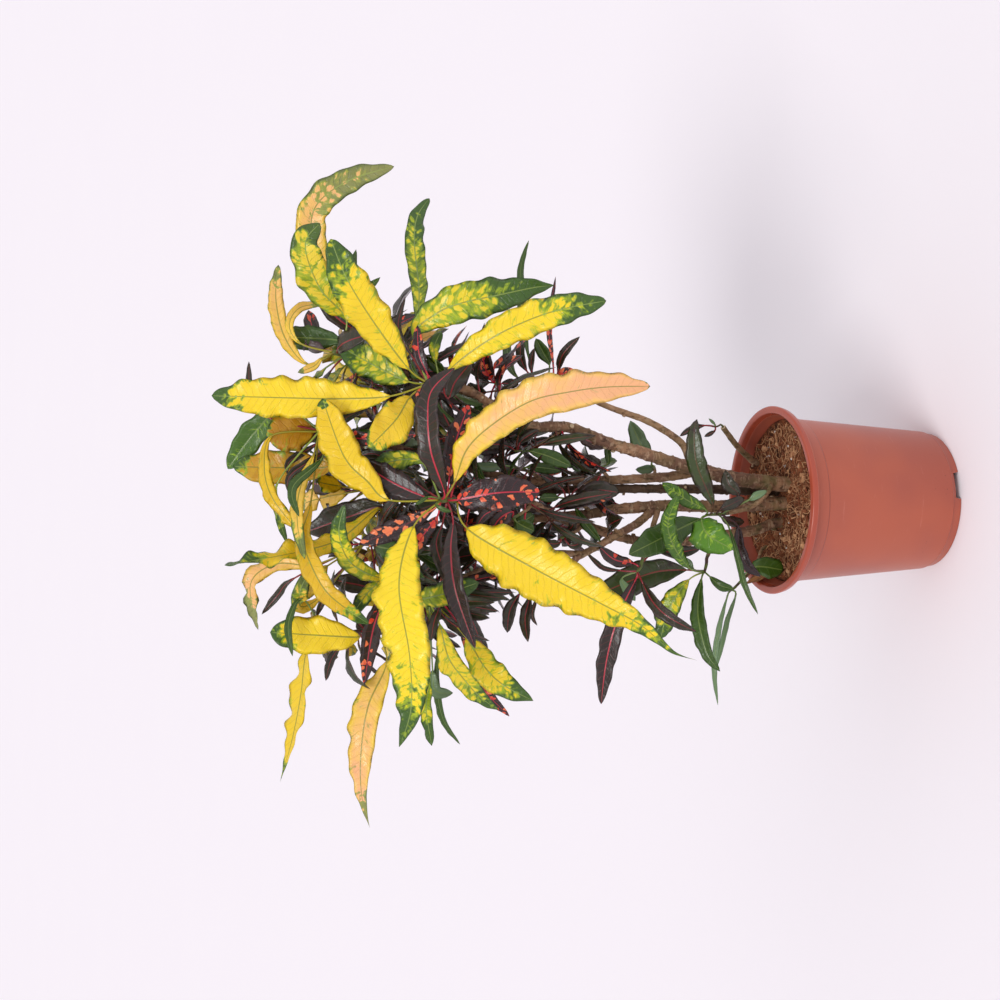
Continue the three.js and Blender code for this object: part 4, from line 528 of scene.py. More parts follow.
shoot(
    "inner_shoot_e", (2, 1.5), [(0, 498, 8), (2, 506, 10)],
    leaf("dark", 24, (7, 488, 22), (12, 462, 30), (9, 433, 32)),
    leaf("green", 12, (-10, 492, 16), (-28, 480, 22), (-52, 458, 26), slide=18),
    leaf("dark", 12, (12, 508, 8), (22, 520, 10), (32, 538, 10), slide=9),
    # small
    leaf("green", 12, (3, 514, 14), (3, 526, 16), (2, 540, 16)),
)
shoot(
    "inner_shoot_f", (2, 1.5), [(-43, 574, 4), (-45, 582, 6)],
    leaf("dark", 12, (-46, 590, 14), (-46, 572, 22), (-43, 550, 26)),
    leaf("green", 20, (-34, 572, 16), (-26, 560, 24), (-18, 546, 26), slide=-9),
    leaf("dark", 22, (-52, 574, 0), (-58, 558, 4), (-56, 540, 6), slide=9),
)
shoot(
    "inner_shoot_g", (2, 1.5), [(-45, 506, 22), (-47, 512, 24)],
    leaf("dark", 11, (-52, 512, 22), (-54, 520, 20), (-52, 532, 18)),
    leaf("dark", 11, (-54, 502, 26), (-56, 494, 30), (-52, 482, 32)),
    leaf("dark", 10, (-38, 502, 32), (-32, 496, 38), (-22, 494, 40)),
)
shoot(
    "inner_shoot_h", (2, 1.5), [(-21, 573, 44), (-23, 580, 46)],
    leaf("spotted", 22, (-14, 574, 50), (-22, 590, 52), (-38, 602, 50)),
    leaf("green", 18, (-26, 570, 50), (-32, 560, 54), (-38, 546, 56)),
    leaf("dark", 16, (-24, 592, 44), (-32, 606, 44), (-50, 616, 42), slide=-9),
    leaf("spotted", 14, (-12, 592, 46), (-18, 610, 50), (-32, 620, 50), slide=18),
)
shoot(
    "far_crown", (4, 2.6), [(11, 730, -118), (14, 775, -124)],
    rule=Rule(22, 205, 42, ["yellow", "dark", "netted", "peach"], [0, 1, 7, 9, 10, 14, 17, 20, 24,
        51, 65, 74, 82, 101, 104, 109, 139, 190]),
)
shoot(
    "far_left_crown", (3.6, 2.4), [(-98, 674, -112), (-110, 712, -118)],
    rule=Rule(20, 195, 40, ["netted", "spotted", "yellow", "dark"], [0, 1, 2, 12, 14, 17, 28, 77,
        93, 97, 125, 174, 175]),
)
shoot(
    "far_right_crown", (3.6, 2.4), [(129, 712, -110), (136, 748, -116)],
    rule=Rule(20, 195, 40, ["yellow", "peach", "dark", "netted"], [2, 3, 8, 10, 11, 13, 18, 34, 36,
        39, 46, 50, 57, 76, 87, 116, 120]),
)
shoot(
    "far_low_left_shoot", (3, 2), [(-42, 610, -114), (-54, 636, -124)],
    rule=Rule(14, 175, 34, ["dark", "spotted", "green"], [0, 4, 5, 8, 10, 11, 13, 14, 21, 28, 49,
        66, 76, 83]),
)
shoot(
    "far_low_right_shoot", (3, 2), [(66, 612, -120), (78, 634, -128)],
    rule=Rule(14, 175, 34, ["dark", "netted", "red"], [0, 1, 4, 7, 9, 10, 16, 31, 33, 35, 41, 43,
        45, 52]),
)

# The outline of the bush from the front: the small leaves grown by rule stay inside it, and
# between these depths.
FOLIAGE = [
    (-205, 665), (-235, 735), (-215, 800), (-140, 850), (-70, 885), (0, 878), (60, 890),
    (135, 880), (205, 850), (270, 815), (262, 745), (290, 700), (250, 660), (215, 600),
    (200, 515), (120, 505), (85, 490), (75, 430), (-60, 425), (-70, 500), (-110, 545),
    (-185, 560), (-195, 640),
]
FOLIAGE_DEPTHS = (-62, 226)

# How many small leaves a shoot gets by rule: the most, the tries, the greatest length, and how
# far down the wood they go as a share of it. Low shoots get none.
Fill = namedtuple("Fill", "count tries length reach")
FILL = {
    "front_crown": Fill(34, 600, 108, 0.45),
    "right_crown": Fill(28, 420, 108, 0.35),
    "back_centre_crown": Fill(34, 420, 115, 0.5),
    "back_left_crown": Fill(34, 420, 115, 0.5),
    "back_right_crown": Fill(28, 420, 115, 0.7),
    "lower_left_crown": Fill(28, 600, 108, 0.95),
    "left_crown": Fill(20, 300, 105, 0.7),
    "far_crown": Fill(32, 400, 115, 0.5),
}
OTHER_FILL = Fill(20, 340, 105, 0.35)
OPEN_SHOOTS = {
    "left_rim_side_shoot", "rim_shoot", "centre_low_shoot", "stub_shoot", "left_low_shoot",
    "right_mid_shoot", "left_mid_shoot",
}
FILL_KINDS = (
    "deep", "dark", "deep", "dark", "deep", "spotted", "deep", "green", "dark", "deep", "dark",
    "red",
)


# Places and routes


def drawn(place, slide=0.0):
    """A point seen at (across, up) on the upright plane through the pot's axis, forward of it."""
    across, up, forward = place
    return Vector((across, 0, up)).lerp(EYE, (forward + slide) / -EYE.y)


def seen(point):
    """Where a point is seen on that plane."""
    return EYE.lerp(point, -EYE.y / (point.y - EYE.y))


def between(ends, part, whole=1):
    """The value that lies part of the whole way from one end to the other."""
    return ends[0] + (ends[1] - ends[0]) * part / whole


class Route:
    """A smooth line through a few points, walked by its length."""

    STEPS = 8

    def __init__(self, points):
        last = len(points) - 1
        self.dots = []
        for i in range(last):
            near = [points[min(max(k, 0), last)] for k in (i - 1, i, i + 1, i + 2)]
            self.dots += [self.bend(near, k / self.STEPS) for k in range(self.STEPS)]
        self.dots.append(points[last].copy())
        self.miles = [0.0]
        for a, b in zip(self.dots, self.dots[1:]):
            self.miles.append(self.miles[-1] + (b - a).length)
        self.length = self.miles[-1]

    @staticmethod
    def bend(near, t):
        """A place between the middle two of four points."""
        weights = (
            (-t + 2 * t * t - t**3) / 2,
            (2 - 5 * t * t + 3 * t**3) / 2,
            (t + 4 * t * t - 3 * t**3) / 2,
            (-t * t + t**3) / 2,
        )
        total = Vector((0, 0, 0))
        for point, weight in zip(near, weights):
            total += point * weight
        return total

    def at(self, mile):
        i = min(max(bisect_left(self.miles, mile), 1), len(self.miles) - 1)
        share = (mile - self.miles[i - 1]) / (self.miles[i] - self.miles[i - 1])
        return self.dots[i - 1].lerp(self.dots[i], share)

    def direction(self, mile):
        step = min(4.0, self.length / 4)
        low = min(max(mile - step, 0.0), self.length - step)
        high = max(min(mile + step, self.length), step)
        return (self.at(high) - self.at(low)).normalized()

    def end(self):
        return self.at(self.length), self.direction(self.length)


def dice(seed):
    """Numbers between 0 and 1 that look random and are the same every time."""
    multiplier, modulus = 16807, 2**31 - 1
    while True:
        seed = seed * multiplier % modulus
        yield seed / modulus


# Growing the plant


def blade_leaf(spec, twig, core):
    """A leaf of the front, from its drawn points. Its base slides a third as far as its tip."""
    last = len(spec.points) - 1
    line = [
        drawn(place, spec.slide * (0.35 + 0.65 * i / last))
        for i, place in enumerate(spec.points)
    ]
    root = root_on(twig, core, line[0])
    facing = (EYE - line[0]).normalized() + UP * 0.15
    shade, marks = LOOKS[spec.look]
    stalk = (root - line[0]).length
    route = Route([root, *line])
    return Leaf(spec.kind, spec.wide, spec.turn, route, stalk, facing, shade, spec.marks or marks)


def root_on(twig, core, base):
    """The place on a twig that a leaf grows from: the nearest to the blade's base."""
    miles = [twig.length * i / 12.5 for i in range(3, 13)]
    mile = min(miles, key=lambda m: (twig.at(m) - base).length)
    point, way = twig.at(mile), twig.direction(mile)
    out = base - point
    out = (out - way * out.dot(way)).normalized()
    return point + out * core


def sprung_leaf(kind, wide, root, azimuth, rise, length, droop):
    """A leaf by rule: it springs from the twig and arches over."""
    out = Vector((math.cos(azimuth), math.sin(azimuth), 0))
    line = [
        root
        + out * (length * s * math.cos(rise) * (1 - 0.25 * droop * s))
        + UP * (length * (s * math.sin(rise) - droop * s * s))
        for s in (0, 0.2, 0.45, 0.72, 1)
    ]
    stalk = (line[1] - line[0]).length
    return Leaf(kind, wide, 0, Route(line), stalk, UP + out, *LOOKS[kind])


def rule_leaves(rule, twig, index):
    """The leaves of the far side, by the numbers of the trials that had room."""
    roll = dice(1000 + 77 * index)
    leaves = []
    for i in range(rule.trials[-1] + 1):
        size = 0.62 + 0.38 * next(roll)
        rise = math.radians(68 - 62 * (i % rule.count) / rule.count + 14 * next(roll))
        root = twig.at(twig.length * (0.3 + 0.6 * next(roll)))
        droop = 0.35 + 0.65 * next(roll)
        if i in rule.trials:
            kind, azimuth = rule.kinds[i % len(rule.kinds)], i * GOLDEN + index
            wide, length = rule.wide * size, rule.length * size
            leaves.append(sprung_leaf(kind, wide, root, azimuth, rise, length, droop))
    return leaves


class Crowd:
    """The places that wood and leaves take up, kept in cells, so that new leaves stay clear."""

    def __init__(self, cell):
        self.cell, self.cells = cell, {}

    def key(self, point):
        return tuple(math.floor(c / self.cell) for c in point)

    def take(self, points):
        for point in points:
            self.cells.setdefault(self.key(point), []).append(point.copy())

    def free(self, points, gap):
        steps = (-1, 0, 1)
        for point in points:
            x, y, z = self.key(point)
            near = [(x + i, y + j, z + k) for i in steps for j in steps for k in steps]
            if any((point - q).length < gap for key in near for q in self.cells.get(key, ())):
                return False
        return True


def samples(leaf):
    """Points spread over a blade."""
    count = max(4, round((leaf.route.length - leaf.stalk) / 7))
    steps = max(2, round(leaf.wide / 10))
    reaches = [i / steps for i in range(-steps, steps + 1)]
    points = []
    for row in leaf_rows(leaf, count):
        points += [row.centre + row.across * row.half * reach for reach in reaches]
    return points


def inside(polygon, x, y):
    """Whether a place lies inside a polygon."""
    turns = 0
    for (ax, ay), (bx, by) in zip(polygon, polygon[1:] + polygon[:1]):
        if (ay > y) != (by > y) and x < ax + (y - ay) * (bx - ax) / (by - ay):
            turns += 1
    return turns % 2 == 1


def shaded(point):
    """Whether a place lies inside the bush, behind the large leaves of the front."""
    spot = seen(point)
    return FOLIAGE_DEPTHS[0] < point.y < FOLIAGE_DEPTHS[1] and inside(FOLIAGE, spot.x, spot.z)


def small_leaves(name, index, twig, wood, crowd):
    """The small leaves on a shoot and the wood under it, where there is room."""
    rule = FILL.get(name, OTHER_FILL)
    roll = dice(5000 + 131 * index)
    found = []
    for i in range(rule.tries):
        share, size, tone, droop, on_twig = (next(roll) for _ in range(5))
        if on_twig < 0.45:
            root = twig.at(twig.length * (0.1 + 0.85 * share))
        else:
            root = wood.at(wood.length * (1 - rule.reach * share))
        length = rule.length * (0.5 + 0.5 * size)
        wide = length * (0.2 + 0.1 * tone)
        kind = FILL_KINDS[i % len(FILL_KINDS)]
        rise = math.radians(75 * size - 30)
        droop = 0.2 + 0.7 * droop
        new = sprung_leaf(kind, wide, root, i * GOLDEN + index, rise, length, droop)
        points = samples(new)
        if all(map(shaded, points[::3])) and crowd.free(points[::-2], CROWD_GAP):
            crowd.take(points)
            found.append(new)
            if len(found) == rule.count:
                break
    return found


Growth = namedtuple("Growth", "limbs twigs leaves")


def grow():
    """The routes of all limbs and twigs, and the leaves of each shoot."""
    limbs = {}
    for name, parts in STEMS.items():
        for part in parts:
            points = [p if isinstance(p, Vector) else drawn(p) for p in part.points]
            limbs[part.end] = name, part, Route(points)
    twigs, leaves = {}, {}
    for index, (name, shoot) in enumerate(SHOOTS.items()):
        end, way = limbs[name][2].end()
        twig = Route([end + way * GAP, end + way * 5, *map(drawn, shoot.twig)])
        twigs[name] = twig
        leaves[name] = [blade_leaf(spec, twig, shoot.radii[1] * 0.4) for spec in shoot.leaves]
        if shoot.rule:
            leaves[name] += rule_leaves(shoot.rule, twig, index)
    crowd = Crowd(7)
    for route in [limb[2] for limb in limbs.values()] + list(twigs.values()):
        crowd.take(route.at(mile) for mile in range(0, int(route.length), 4))
    for leaf in (leaf for grown in leaves.values() for leaf in grown):
        crowd.take(samples(leaf))
    for index, name in enumerate(SHOOTS):
        if name not in OPEN_SHOOTS:
            leaves[name] += small_leaves(name, index, twigs[name], limbs[name][2], crowd)
    return Growth(limbs, twigs, leaves)


# Skins


def lay(bm, columns, rows, place):
    """Adds a grid and puts each vertex at place(u, v), u across and v along, from 0 to 1."""
    grid = bmesh.ops.create_grid(bm, x_segments=columns, y_segments=rows, size=0.5)
    for vert in grid["verts"]:
        vert.co = place(vert, vert.co.x + 0.5, vert.co.y + 0.5) * MM
    return grid["verts"]


def weld(bm, verts):
    bmesh.ops.remove_doubles(bm, verts=verts, dist=0.00002)


def faces_of(verts):
    return {face for vert in verts for face in vert.link_faces}


def smooth(faces, shade=0):
    for face in faces:
        face.material_index = shade
        face.smooth = True


def close_skin(bm):
    """Joins the seams of a whole mesh, and turns its faces outwards."""
    weld(bm, bm.verts)
    bmesh.ops.recalc_face_normals(bm, faces=bm.faces)
    smooth(bm.faces)


def mesh_of(bm, name):
    mesh = bpy.data.meshes.new(name)
    bm.to_mesh(mesh)
    bm.free()
    return mesh


def absorb(bm, part):
    """Moves a small mesh into a large one: operators are much quicker on a small mesh."""
    mesh = mesh_of(part, "part")
    bm.from_mesh(mesh)
    bpy.data.meshes.remove(mesh)


def outline(share, taper):
    """Half the width of a blade along its length, as a part of its greatest half width."""
    if share <= 0 or share >= 1:
        return 0.0
    widest = 0.75 / (0.75 + taper)
    greatest = widest**0.75 * (1 - widest) ** taper
    return share**0.75 * (1 - share) ** taper / greatest


Row = namedtuple("Row", "centre across face along share half")


def leaf_rows(leaf, count):
    """The cross-sections of a blade from its base to its tip."""
    length = leaf.route.length - leaf.stalk
    form = FORMS[leaf.kind]
    rows = []
    for i in range(count + 1):
        share = i / count
        share = share * (1.12 - 0.12 * share)
        mile = leaf.stalk + length * share
        way = leaf.route.direction(mile)
        face = (leaf.facing - way * leaf.facing.dot(way)).normalized()
        turn = leaf.turn + form.twist * share
        if turn:
            face = Quaternion(way, math.radians(turn)) @ face
        half = leaf.wide / 2 * outline(share, form.taper)
        half = max(half, PETIOLE * min(1.0, (1 - share) * 8))
        rows.append(Row(leaf.route.at(mile), face.cross(way), face, share * length, share, half))
    return rows


def skin_leaf(bm, layers, leaf, seed, sizes, shade):
    """A blade with a rib, pillows between its veins and waved edges, on a round stalk."""
    form = FORMS[leaf.kind]
    length = leaf.route.length - leaf.stalk
    big = leaf.wide * length > BIG_LEAF
    columns, spacing, short_wave = (10, 3.4, 26.0) if big else (6, 5.5, 17.0)
    count = min(80, max(10, round(length / spacing)))
    rows = leaf_rows(leaf, count)
    phase = seed * 6.28

    def put(side):
        def place(vert, u, v):
            row = rows[round(v * count)]
            x = 2 * u - 1
            reach = -math.copysign(abs(x) ** 1.25, x)
            hand = 1 if reach > 0 else -1
            firm = abs(reach)
            wave = math.sin(TURN * form.waves * row.share + (0.6 if hand > 0 else 2.1))
            fine = 0.65 * math.sin(TURN * row.along / short_wave + phase + hand)
            slow = 1.63 * short_wave
            fine += 0.6 * math.sin(TURN * row.along / slow + 2.3 * phase - hand)
            lift = row.half * (form.fold * firm + form.ruffle * wave * firm**2)
            lift += row.half * form.scallop * sizes.wave_depth * fine * firm**3
            vein = (row.along - 0.6 * firm * row.half) / sizes.vein_spacing + 0.23 * hand
            pillow = 0.42 * math.cos(TURN * vein) * firm * (1 - firm) * 2
            lift += pillow * min(1, row.half / 12)
            thick = sizes.thickness / 2 * (1 - firm**6)
            if firm < 0.02:
                thick += 0.9 * (1 - row.share) if side < 0 else -0.15
            thick *= min(1.0, 30 * row.share, 30 * (1 - row.share))
            across = row.half * reach * (1 + 0.075 * fine * firm)
            vert[layers.blade] = (reach, row.share, seed)
            vert[layers.span] = (row.half * reach, row.along, 1.0 if side < 0 else 0.0)
            vert[layers.marks] = leaf.marks
            return row.centre + row.across * across + row.face * (lift + side * thick)

        return place

    verts, backs = lay(bm, columns, count, put(1)), lay(bm, columns, count, put(-1))
    bmesh.ops.reverse_faces(bm, faces=list(faces_of(backs)))
    verts += backs
    smooth(faces_of(verts), shade)
    weld(bm, verts)
    reach = leaf.stalk + min(6.0, length * 0.1)
    for vert in tube(bm, leaf.route, reach, (1.3, 1.0), 6, 5, shade=shade):
        vert[layers.blade] = (0.0, 0.0, seed)
        vert[layers.marks] = leaf.marks


def tube(bm, route, length, radii, sides, spacing, rough=0.0, shade=0):
    """A round, closed limb along the first stretch of a route, with a lumpy skin."""
    steps = max(2, round(length / spacing))
    rings = []
    side = Vector((1, 0, 0))
    for i in range(steps + 1):
        mile = length * i / steps
        way = route.direction(mile)
        side = (side - way * side.dot(way)).normalized()
        rings.append((route.at(mile), side.copy(), way.cross(side)))

    def place(vert, u, v):
        centre, side, other = rings[round(v * steps)]
        turn = TURN * u
        out = side * math.cos(turn) + other * math.sin(turn)
        spot = centre + out * between(radii, v)
        if rough:
            joint = max(0.0, math.cos(TURN * length * v / NODE_SPACING)) ** 8
            relief = bark_relief(spot) + NODE_SWELL * joint
            spot += (spot - centre).normalized() * rough * relief
        return spot

    verts = lay(bm, sides, steps, place)
    smooth(faces_of(verts), shade)
    weld(bm, verts)
    verts = [vert for vert in verts if vert.is_valid]
    rims = {edge for vert in verts for edge in vert.link_edges if edge.is_boundary}
    for cap in bmesh.ops.holes_fill(bm, edges=list(rims), sides=0)["faces"]:
        cap.material_index = shade
    bmesh.ops.recalc_face_normals(bm, faces=list(faces_of(verts)))
    return verts


def bark_relief(spot):
    """Ridges along the stem with small lumps on them."""
    ridges = noise.noise(Vector((spot.x / 3.2, spot.y / 3.2, spot.z / 14)))
    lumps = noise.noise(spot / 6.5 + Vector((7, 3, 1)))
    return 0.55 * ridges + 0.6 * lumps


Layers = namedtuple("Layers", "blade span marks")


def new_layers(bm):
    return Layers(*(bm.verts.layers.float_vector.new(name) for name in Layers._fields))


def finish_piece(bm, name, materials, nodes=()):
    """Makes the mesh an object of the part that rides on its one body."""
    bm.normal_update()
    mesh = mesh_of(bm, name)
    for material in materials:
        mesh.materials.append(material)
    piece = bpy.data.objects.new(name, mesh)
    bpy.context.scene.collection.objects.link(piece)
    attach(piece, "root")
    if nodes:
        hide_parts(*nodes)
    return piece


# Finishes


def paint(code):
    """A colour from its web code, as linear light."""
    parts = [int(code[i : i + 2], 16) / 255 for i in (1, 3, 5)]
    linear = [c / 12.92 if c < 0.04045 else ((c + 0.055) / 1.055) ** 2.4 for c in parts]
    return (*linear, 1.0)


def as_colour(value):
    """A colour for a socket, from another socket, a web code or a colour of the settings."""
    if isinstance(value, bpy.types.NodeSocket):
        return value
    return paint(value) if isinstance(value, str) else (*value, 1.0)


class Graph:
    """Adds nodes to a tree, mostly one to a line. A tuple of masks stands for their product."""

    def __init__(self, tree):
        self.tree = tree

    def add(self, kind, *values, **settings):
        node = self.tree.nodes.new(kind)
        for key, value in settings.items():
            setattr(node, key, value)
        for socket, value in zip(node.inputs, values):
            self.feed(socket, value)
        return node

    def add_named(self, kind, values, **settings):
        """Adds a node with values for the inputs of these names."""
        node = self.add(kind, **settings)
        for name, value in values.items():
            self.feed(node.inputs[name], value)
        return node

    def feed(self, socket, value):
        if isinstance(value, bpy.types.NodeSocket):
            self.tree.links.new(value, socket)
        else:
            socket.default_value = value

    def math(self, operation, *values, clamp=False):
        return self.add("ShaderNodeMath", *values, operation=operation, use_clamp=clamp).outputs[0]

    def minus(self, first, second):
        return self.math("SUBTRACT", first, second)

    def absolute(self, value):
        return self.math("ABSOLUTE", value)

    def times(self, *values):
        result, *others = values
        for value in others:
            result = self.math("MULTIPLY", result, value)
        return result

    def product(self, value):
        return self.times(*value) if isinstance(value, tuple) else value

    def total(self, *values):
        result, *others = map(self.product, values)
        for value in others:
            result = self.math("ADD", result, value)
        return result

    def rise(self, value, low, high, start=0.0, end=1.0):
        """A smooth step from start to end as value goes from low to high."""
        ends = (low, high, start, end)
        node = self.add("ShaderNodeMapRange", value, *ends, interpolation_type="SMOOTHSTEP")
        return node.outputs[0]

    def mix(self, factor, first, second):
        node = self.add("ShaderNodeMix", data_type="RGBA")
        self.feed(node.inputs[0], factor)
        self.feed(node.inputs[6], as_colour(first))
        self.feed(node.inputs[7], as_colour(second))
        return node.outputs[2]

    def coats(self, base, *coats):
        """A colour under coats of others, each with its mask."""
        for mask, colour in coats:
            base = self.mix(self.product(mask), base, colour)
        return base

    def noise(self, vector, scale, detail=2.0, roughness=0.5):
        values = {"Vector": vector, "Scale": scale, "Detail": detail, "Roughness": roughness}
        return self.add_named("ShaderNodeTexNoise", values).outputs["Fac"]

    def cells(self, vector, scale, feature="F1"):
        values = {"Vector": vector, "Scale": scale}
        return self.add_named("ShaderNodeTexVoronoi", values, feature=feature).outputs

    def split(self, vector):
        return list(self.add("ShaderNodeSeparateXYZ", vector).outputs)

    def attribute(self, name):
        """The three numbers of a mesh attribute."""
        return self.split(self.add("ShaderNodeAttribute", attribute_name=name).outputs["Vector"])

    def places(self):
        return self.add("ShaderNodeTexCoord").outputs["Object"]

    def vector(self, x, y, z):
        return self.add("ShaderNodeCombineXYZ", x, y, z).outputs[0]

    def stretched(self, vector, scale):
        return self.add("ShaderNodeVectorMath", vector, scale, operation="MULTIPLY").outputs[0]


def leaf_pattern_effect(spacing):
    """The rib, veins and cells of a leaf as masks, with the height that they give its face."""
    tree = bpy.data.node_groups.new("leaf pattern", "ShaderNodeTree")

    def new_socket(label, way):
        return tree.interface.new_socket(label, in_out=way, socket_type="NodeSocketFloat")

    new_socket("Vein spacing", "INPUT").default_value = spacing
    g = Graph(tree)
    vein_spacing = g.add("NodeGroupInput").outputs[0]
    reach, share, seed = g.attribute("blade")
    across, along, _ = g.attribute("span")
    far, hand, own = g.absolute(across), g.math("SIGN", across), g.times(seed, 900.0)
    place = g.vector(across, along, own)
    bent = g.total(along, (far, -0.6), (g.minus(g.noise(place, 0.07), 0.5), 9.0))
    phase = g.total(g.math("DIVIDE", bent, vein_spacing), (hand, 0.23))
    peak = g.times(g.absolute(g.minus(g.math("FRACT", phase), 0.5)), 2.0)
    veins = g.times(g.rise(peak, 0.8, 0.98), g.rise(far, 0.0, 2.0))
    narrow = g.times(g.absolute(reach), 10.0)
    slim = g.total(1.5, (share, -0.8))
    rib = g.rise(g.math("DIVIDE", g.math("MAXIMUM", far, narrow), slim), 1.0, 0.4)
    ripple = g.times(g.noise(place, 0.16), 7.0)
    x, y = g.times(g.total(across, ripple), 0.1), g.times(g.total(bent, ripple), 0.115)
    mesh = g.vector(x, y, own)
    spots = g.cells(mesh, 1.0)
    middle = g.minus(g.cells(mesh, 1.0, "DISTANCE_TO_EDGE")["Distance"], 0.2)
    feather_place = g.vector(g.times(across, 0.09), g.times(bent, 0.3), own)
    net = g.cells(place, 0.42, "DISTANCE_TO_EDGE")["Distance"]
    masks = {
        "Rib": rib,
        "Veins": veins,
        "Cells": g.rise(g.minus(spots["Distance"], g.times(middle, 0.6)), 0.12, 0.78),
        "Chance": g.add("ShaderNodeSeparateColor", spots["Color"]).outputs[0],
        "Edge": g.rise(g.absolute(reach), 0.5, 1.0),
        "Grain": g.noise(place, 0.35, 3.0),
        "Patches": g.noise(place, 0.055, 3.0, 0.6),
        "Feathers": g.noise(feather_place, 1.0, 3.0, 0.6),
        "Height": g.total((veins, -0.6), (rib, 0.5), (g.rise(net, 0.0, 0.12), 0.25)),
    }
    for label in masks:
        new_socket(label, "OUTPUT")
    g.add_named("NodeGroupOutput", masks)
    return tree


def new_material(name, roughness, specular=0.5):
    """A material's graph, and a way to close it with its colour and the relief of its skin."""
    material = bpy.data.materials.new(name)
    material.use_nodes = True
    tree = material.node_tree
    tree.nodes.clear()
    g = Graph(tree)
    values = {"Roughness": roughness, "Specular IOR Level": specular}
    shader = g.add_named("ShaderNodeBsdfPrincipled", values)
    g.add("ShaderNodeOutputMaterial", shader.outputs[0])

    def close(colour, height=None, strength=1.0, depth=1.0, gloss=None):
        g.feed(shader.inputs["Base Color"], colour)
        if gloss:
            g.feed(shader.inputs["Roughness"], gloss)
        if height:
            values = {"Strength": strength, "Distance": depth, "Height": height}
            g.feed(shader.inputs["Normal"], g.add_named("ShaderNodeBump", values).outputs[0])
        return material

    return g, close


MASKS = "rib veins cells chance edge grain patches feathers height"
Ground = namedtuple("Ground", MASKS + " share seed across under marks")


def leaf_ground(name, roughness, specular, pattern):
    """What a leaf's material starts from: the pattern's masks, places on the blade, and marks."""
    g, close = new_material(name, roughness, specular)
    masks = g.add("ShaderNodeGroup", node_tree=pattern).outputs
    _, share, seed = g.attribute("blade")
    across, _, under = g.attribute("span")
    return g, close, Ground(*masks, share, seed, across, under, g.attribute("marks"))


def sunny_material(pattern, finish):
    """Yellow leaves: green from the tip and in a net between the cells, some turning to peach."""
    g, close, on = leaf_ground("sunny_leaf", 0.2, 0.5, pattern)
    tip, net, warm = on.marks
    uneven = g.minus(on.patches, 0.5)
    inner = g.rise(g.absolute(on.across), 15.0, 3.0, 0.4, 1.0)
    before, beyond = g.minus(0.86, tip), g.minus(1.0, g.times(tip, 0.3))
    place = g.total(on.share, (uneven, 0.55))
    tipness = g.math("DIVIDE", g.minus(place, before), g.minus(beyond, before))
    tipness = g.math("MAXIMUM", g.math("MINIMUM", tipness, 1.0), 0.0)
    rim = g.times(g.math("POWER", on.edge, 2.0), g.total(0.08, (tipness, 0.5), (net, 0.2)))
    feather = g.minus(on.feathers, 0.5)
    score = g.total((net, 0.5), (tipness, 0.72), rim, (uneven, 0.3), (on.cells, 0.42))
    score = g.total(score, (on.rib, net, 0.3), (feather, 0.55))
    turn = g.total(0.4, (on.share, 0.85), uneven, (on.edge, -0.45))
    turn = g.math("MULTIPLY", warm, turn, clamp=True)
    # below 0 the third mark gives painted ochre shade, with the glow of light through the leaf
    ochre = g.math("MULTIPLY", warm, -1.0, clamp=True)
    yellow = g.coats(
        finish.yellow,
        (on.seed, "#f3c90a"),
        ((on.grain, 0.3), "#ffe135"),
        # painted ochre shade and glow of light through leaves deep in the bush
        ((net, 0.8), "#d3d436"),
        ((ochre, g.total(0.9, uneven)), "#bb7c14"),
        (turn, finish.peach),
        ((on.veins, inner, g.total(0.2, (turn, -0.1))), "#b98f16"),
        ((on.rib, 0.75), "#748028"),
        ((on.under, 0.35), "#cfa53a"),
    )
    green = g.coats(
        "#9fb51c",
        (g.rise(score, 0.6, 0.98), finish.green),
        ((turn, 0.8), "#969556"),
        ((on.rib, 0.6), "#9db157"),
        ((on.veins, 0.25), "#253f14"),
        ((on.under, 0.35), "#6c7f5a"),
    )
    return close(g.mix(g.rise(score, 0.48, 0.66), yellow, green), on.height, 0.6, 0.001)


def dusky_material(pattern, finish):
    """Near-black purple and green leaves with red ribs, some blotched with red and salmon."""
    g, close, on = leaf_ground("dusky_leaf", 0.15, 0.5, pattern)
    spots, red, green = on.marks
    near_rib = g.rise(g.absolute(on.across), 9.0, 1.0)
    fewer = g.times(on.share, g.total(1.0, (spots, -1.0)), -0.32)
    chance = g.total(on.chance, (spots, 0.45), (near_rib, 0.42), fewer)
    size = g.total(0.66, (on.cells, -1.0), (spots, 0.3), (on.veins, -0.2))
    salmon = g.math("SUBTRACT", g.rise(on.patches, 0.4, 0.62), green, clamp=True)
    colour = g.coats(
        finish.dark,
        ((green, g.rise(on.patches, 0.2, 0.55)), "#34481a"),
        ((on.grain, 0.25), "#46292a"),
        ((on.veins, red, 0.3), "#6a1d22"),
        ((on.under, 0.75), "#5b4a4a"),
        (
            (g.rise(chance, 0.88, 0.93), g.rise(size, 0.3, 0.38), g.rise(spots, 0.13, 0.2)),
            g.mix(salmon, finish.red, "#f2804e"),
        ),
        ((on.rib, g.math("MULTIPLY", red, 0.95, clamp=True)), "#c2263c"),
    )
    return close(colour, on.height, 0.45, 0.0006)


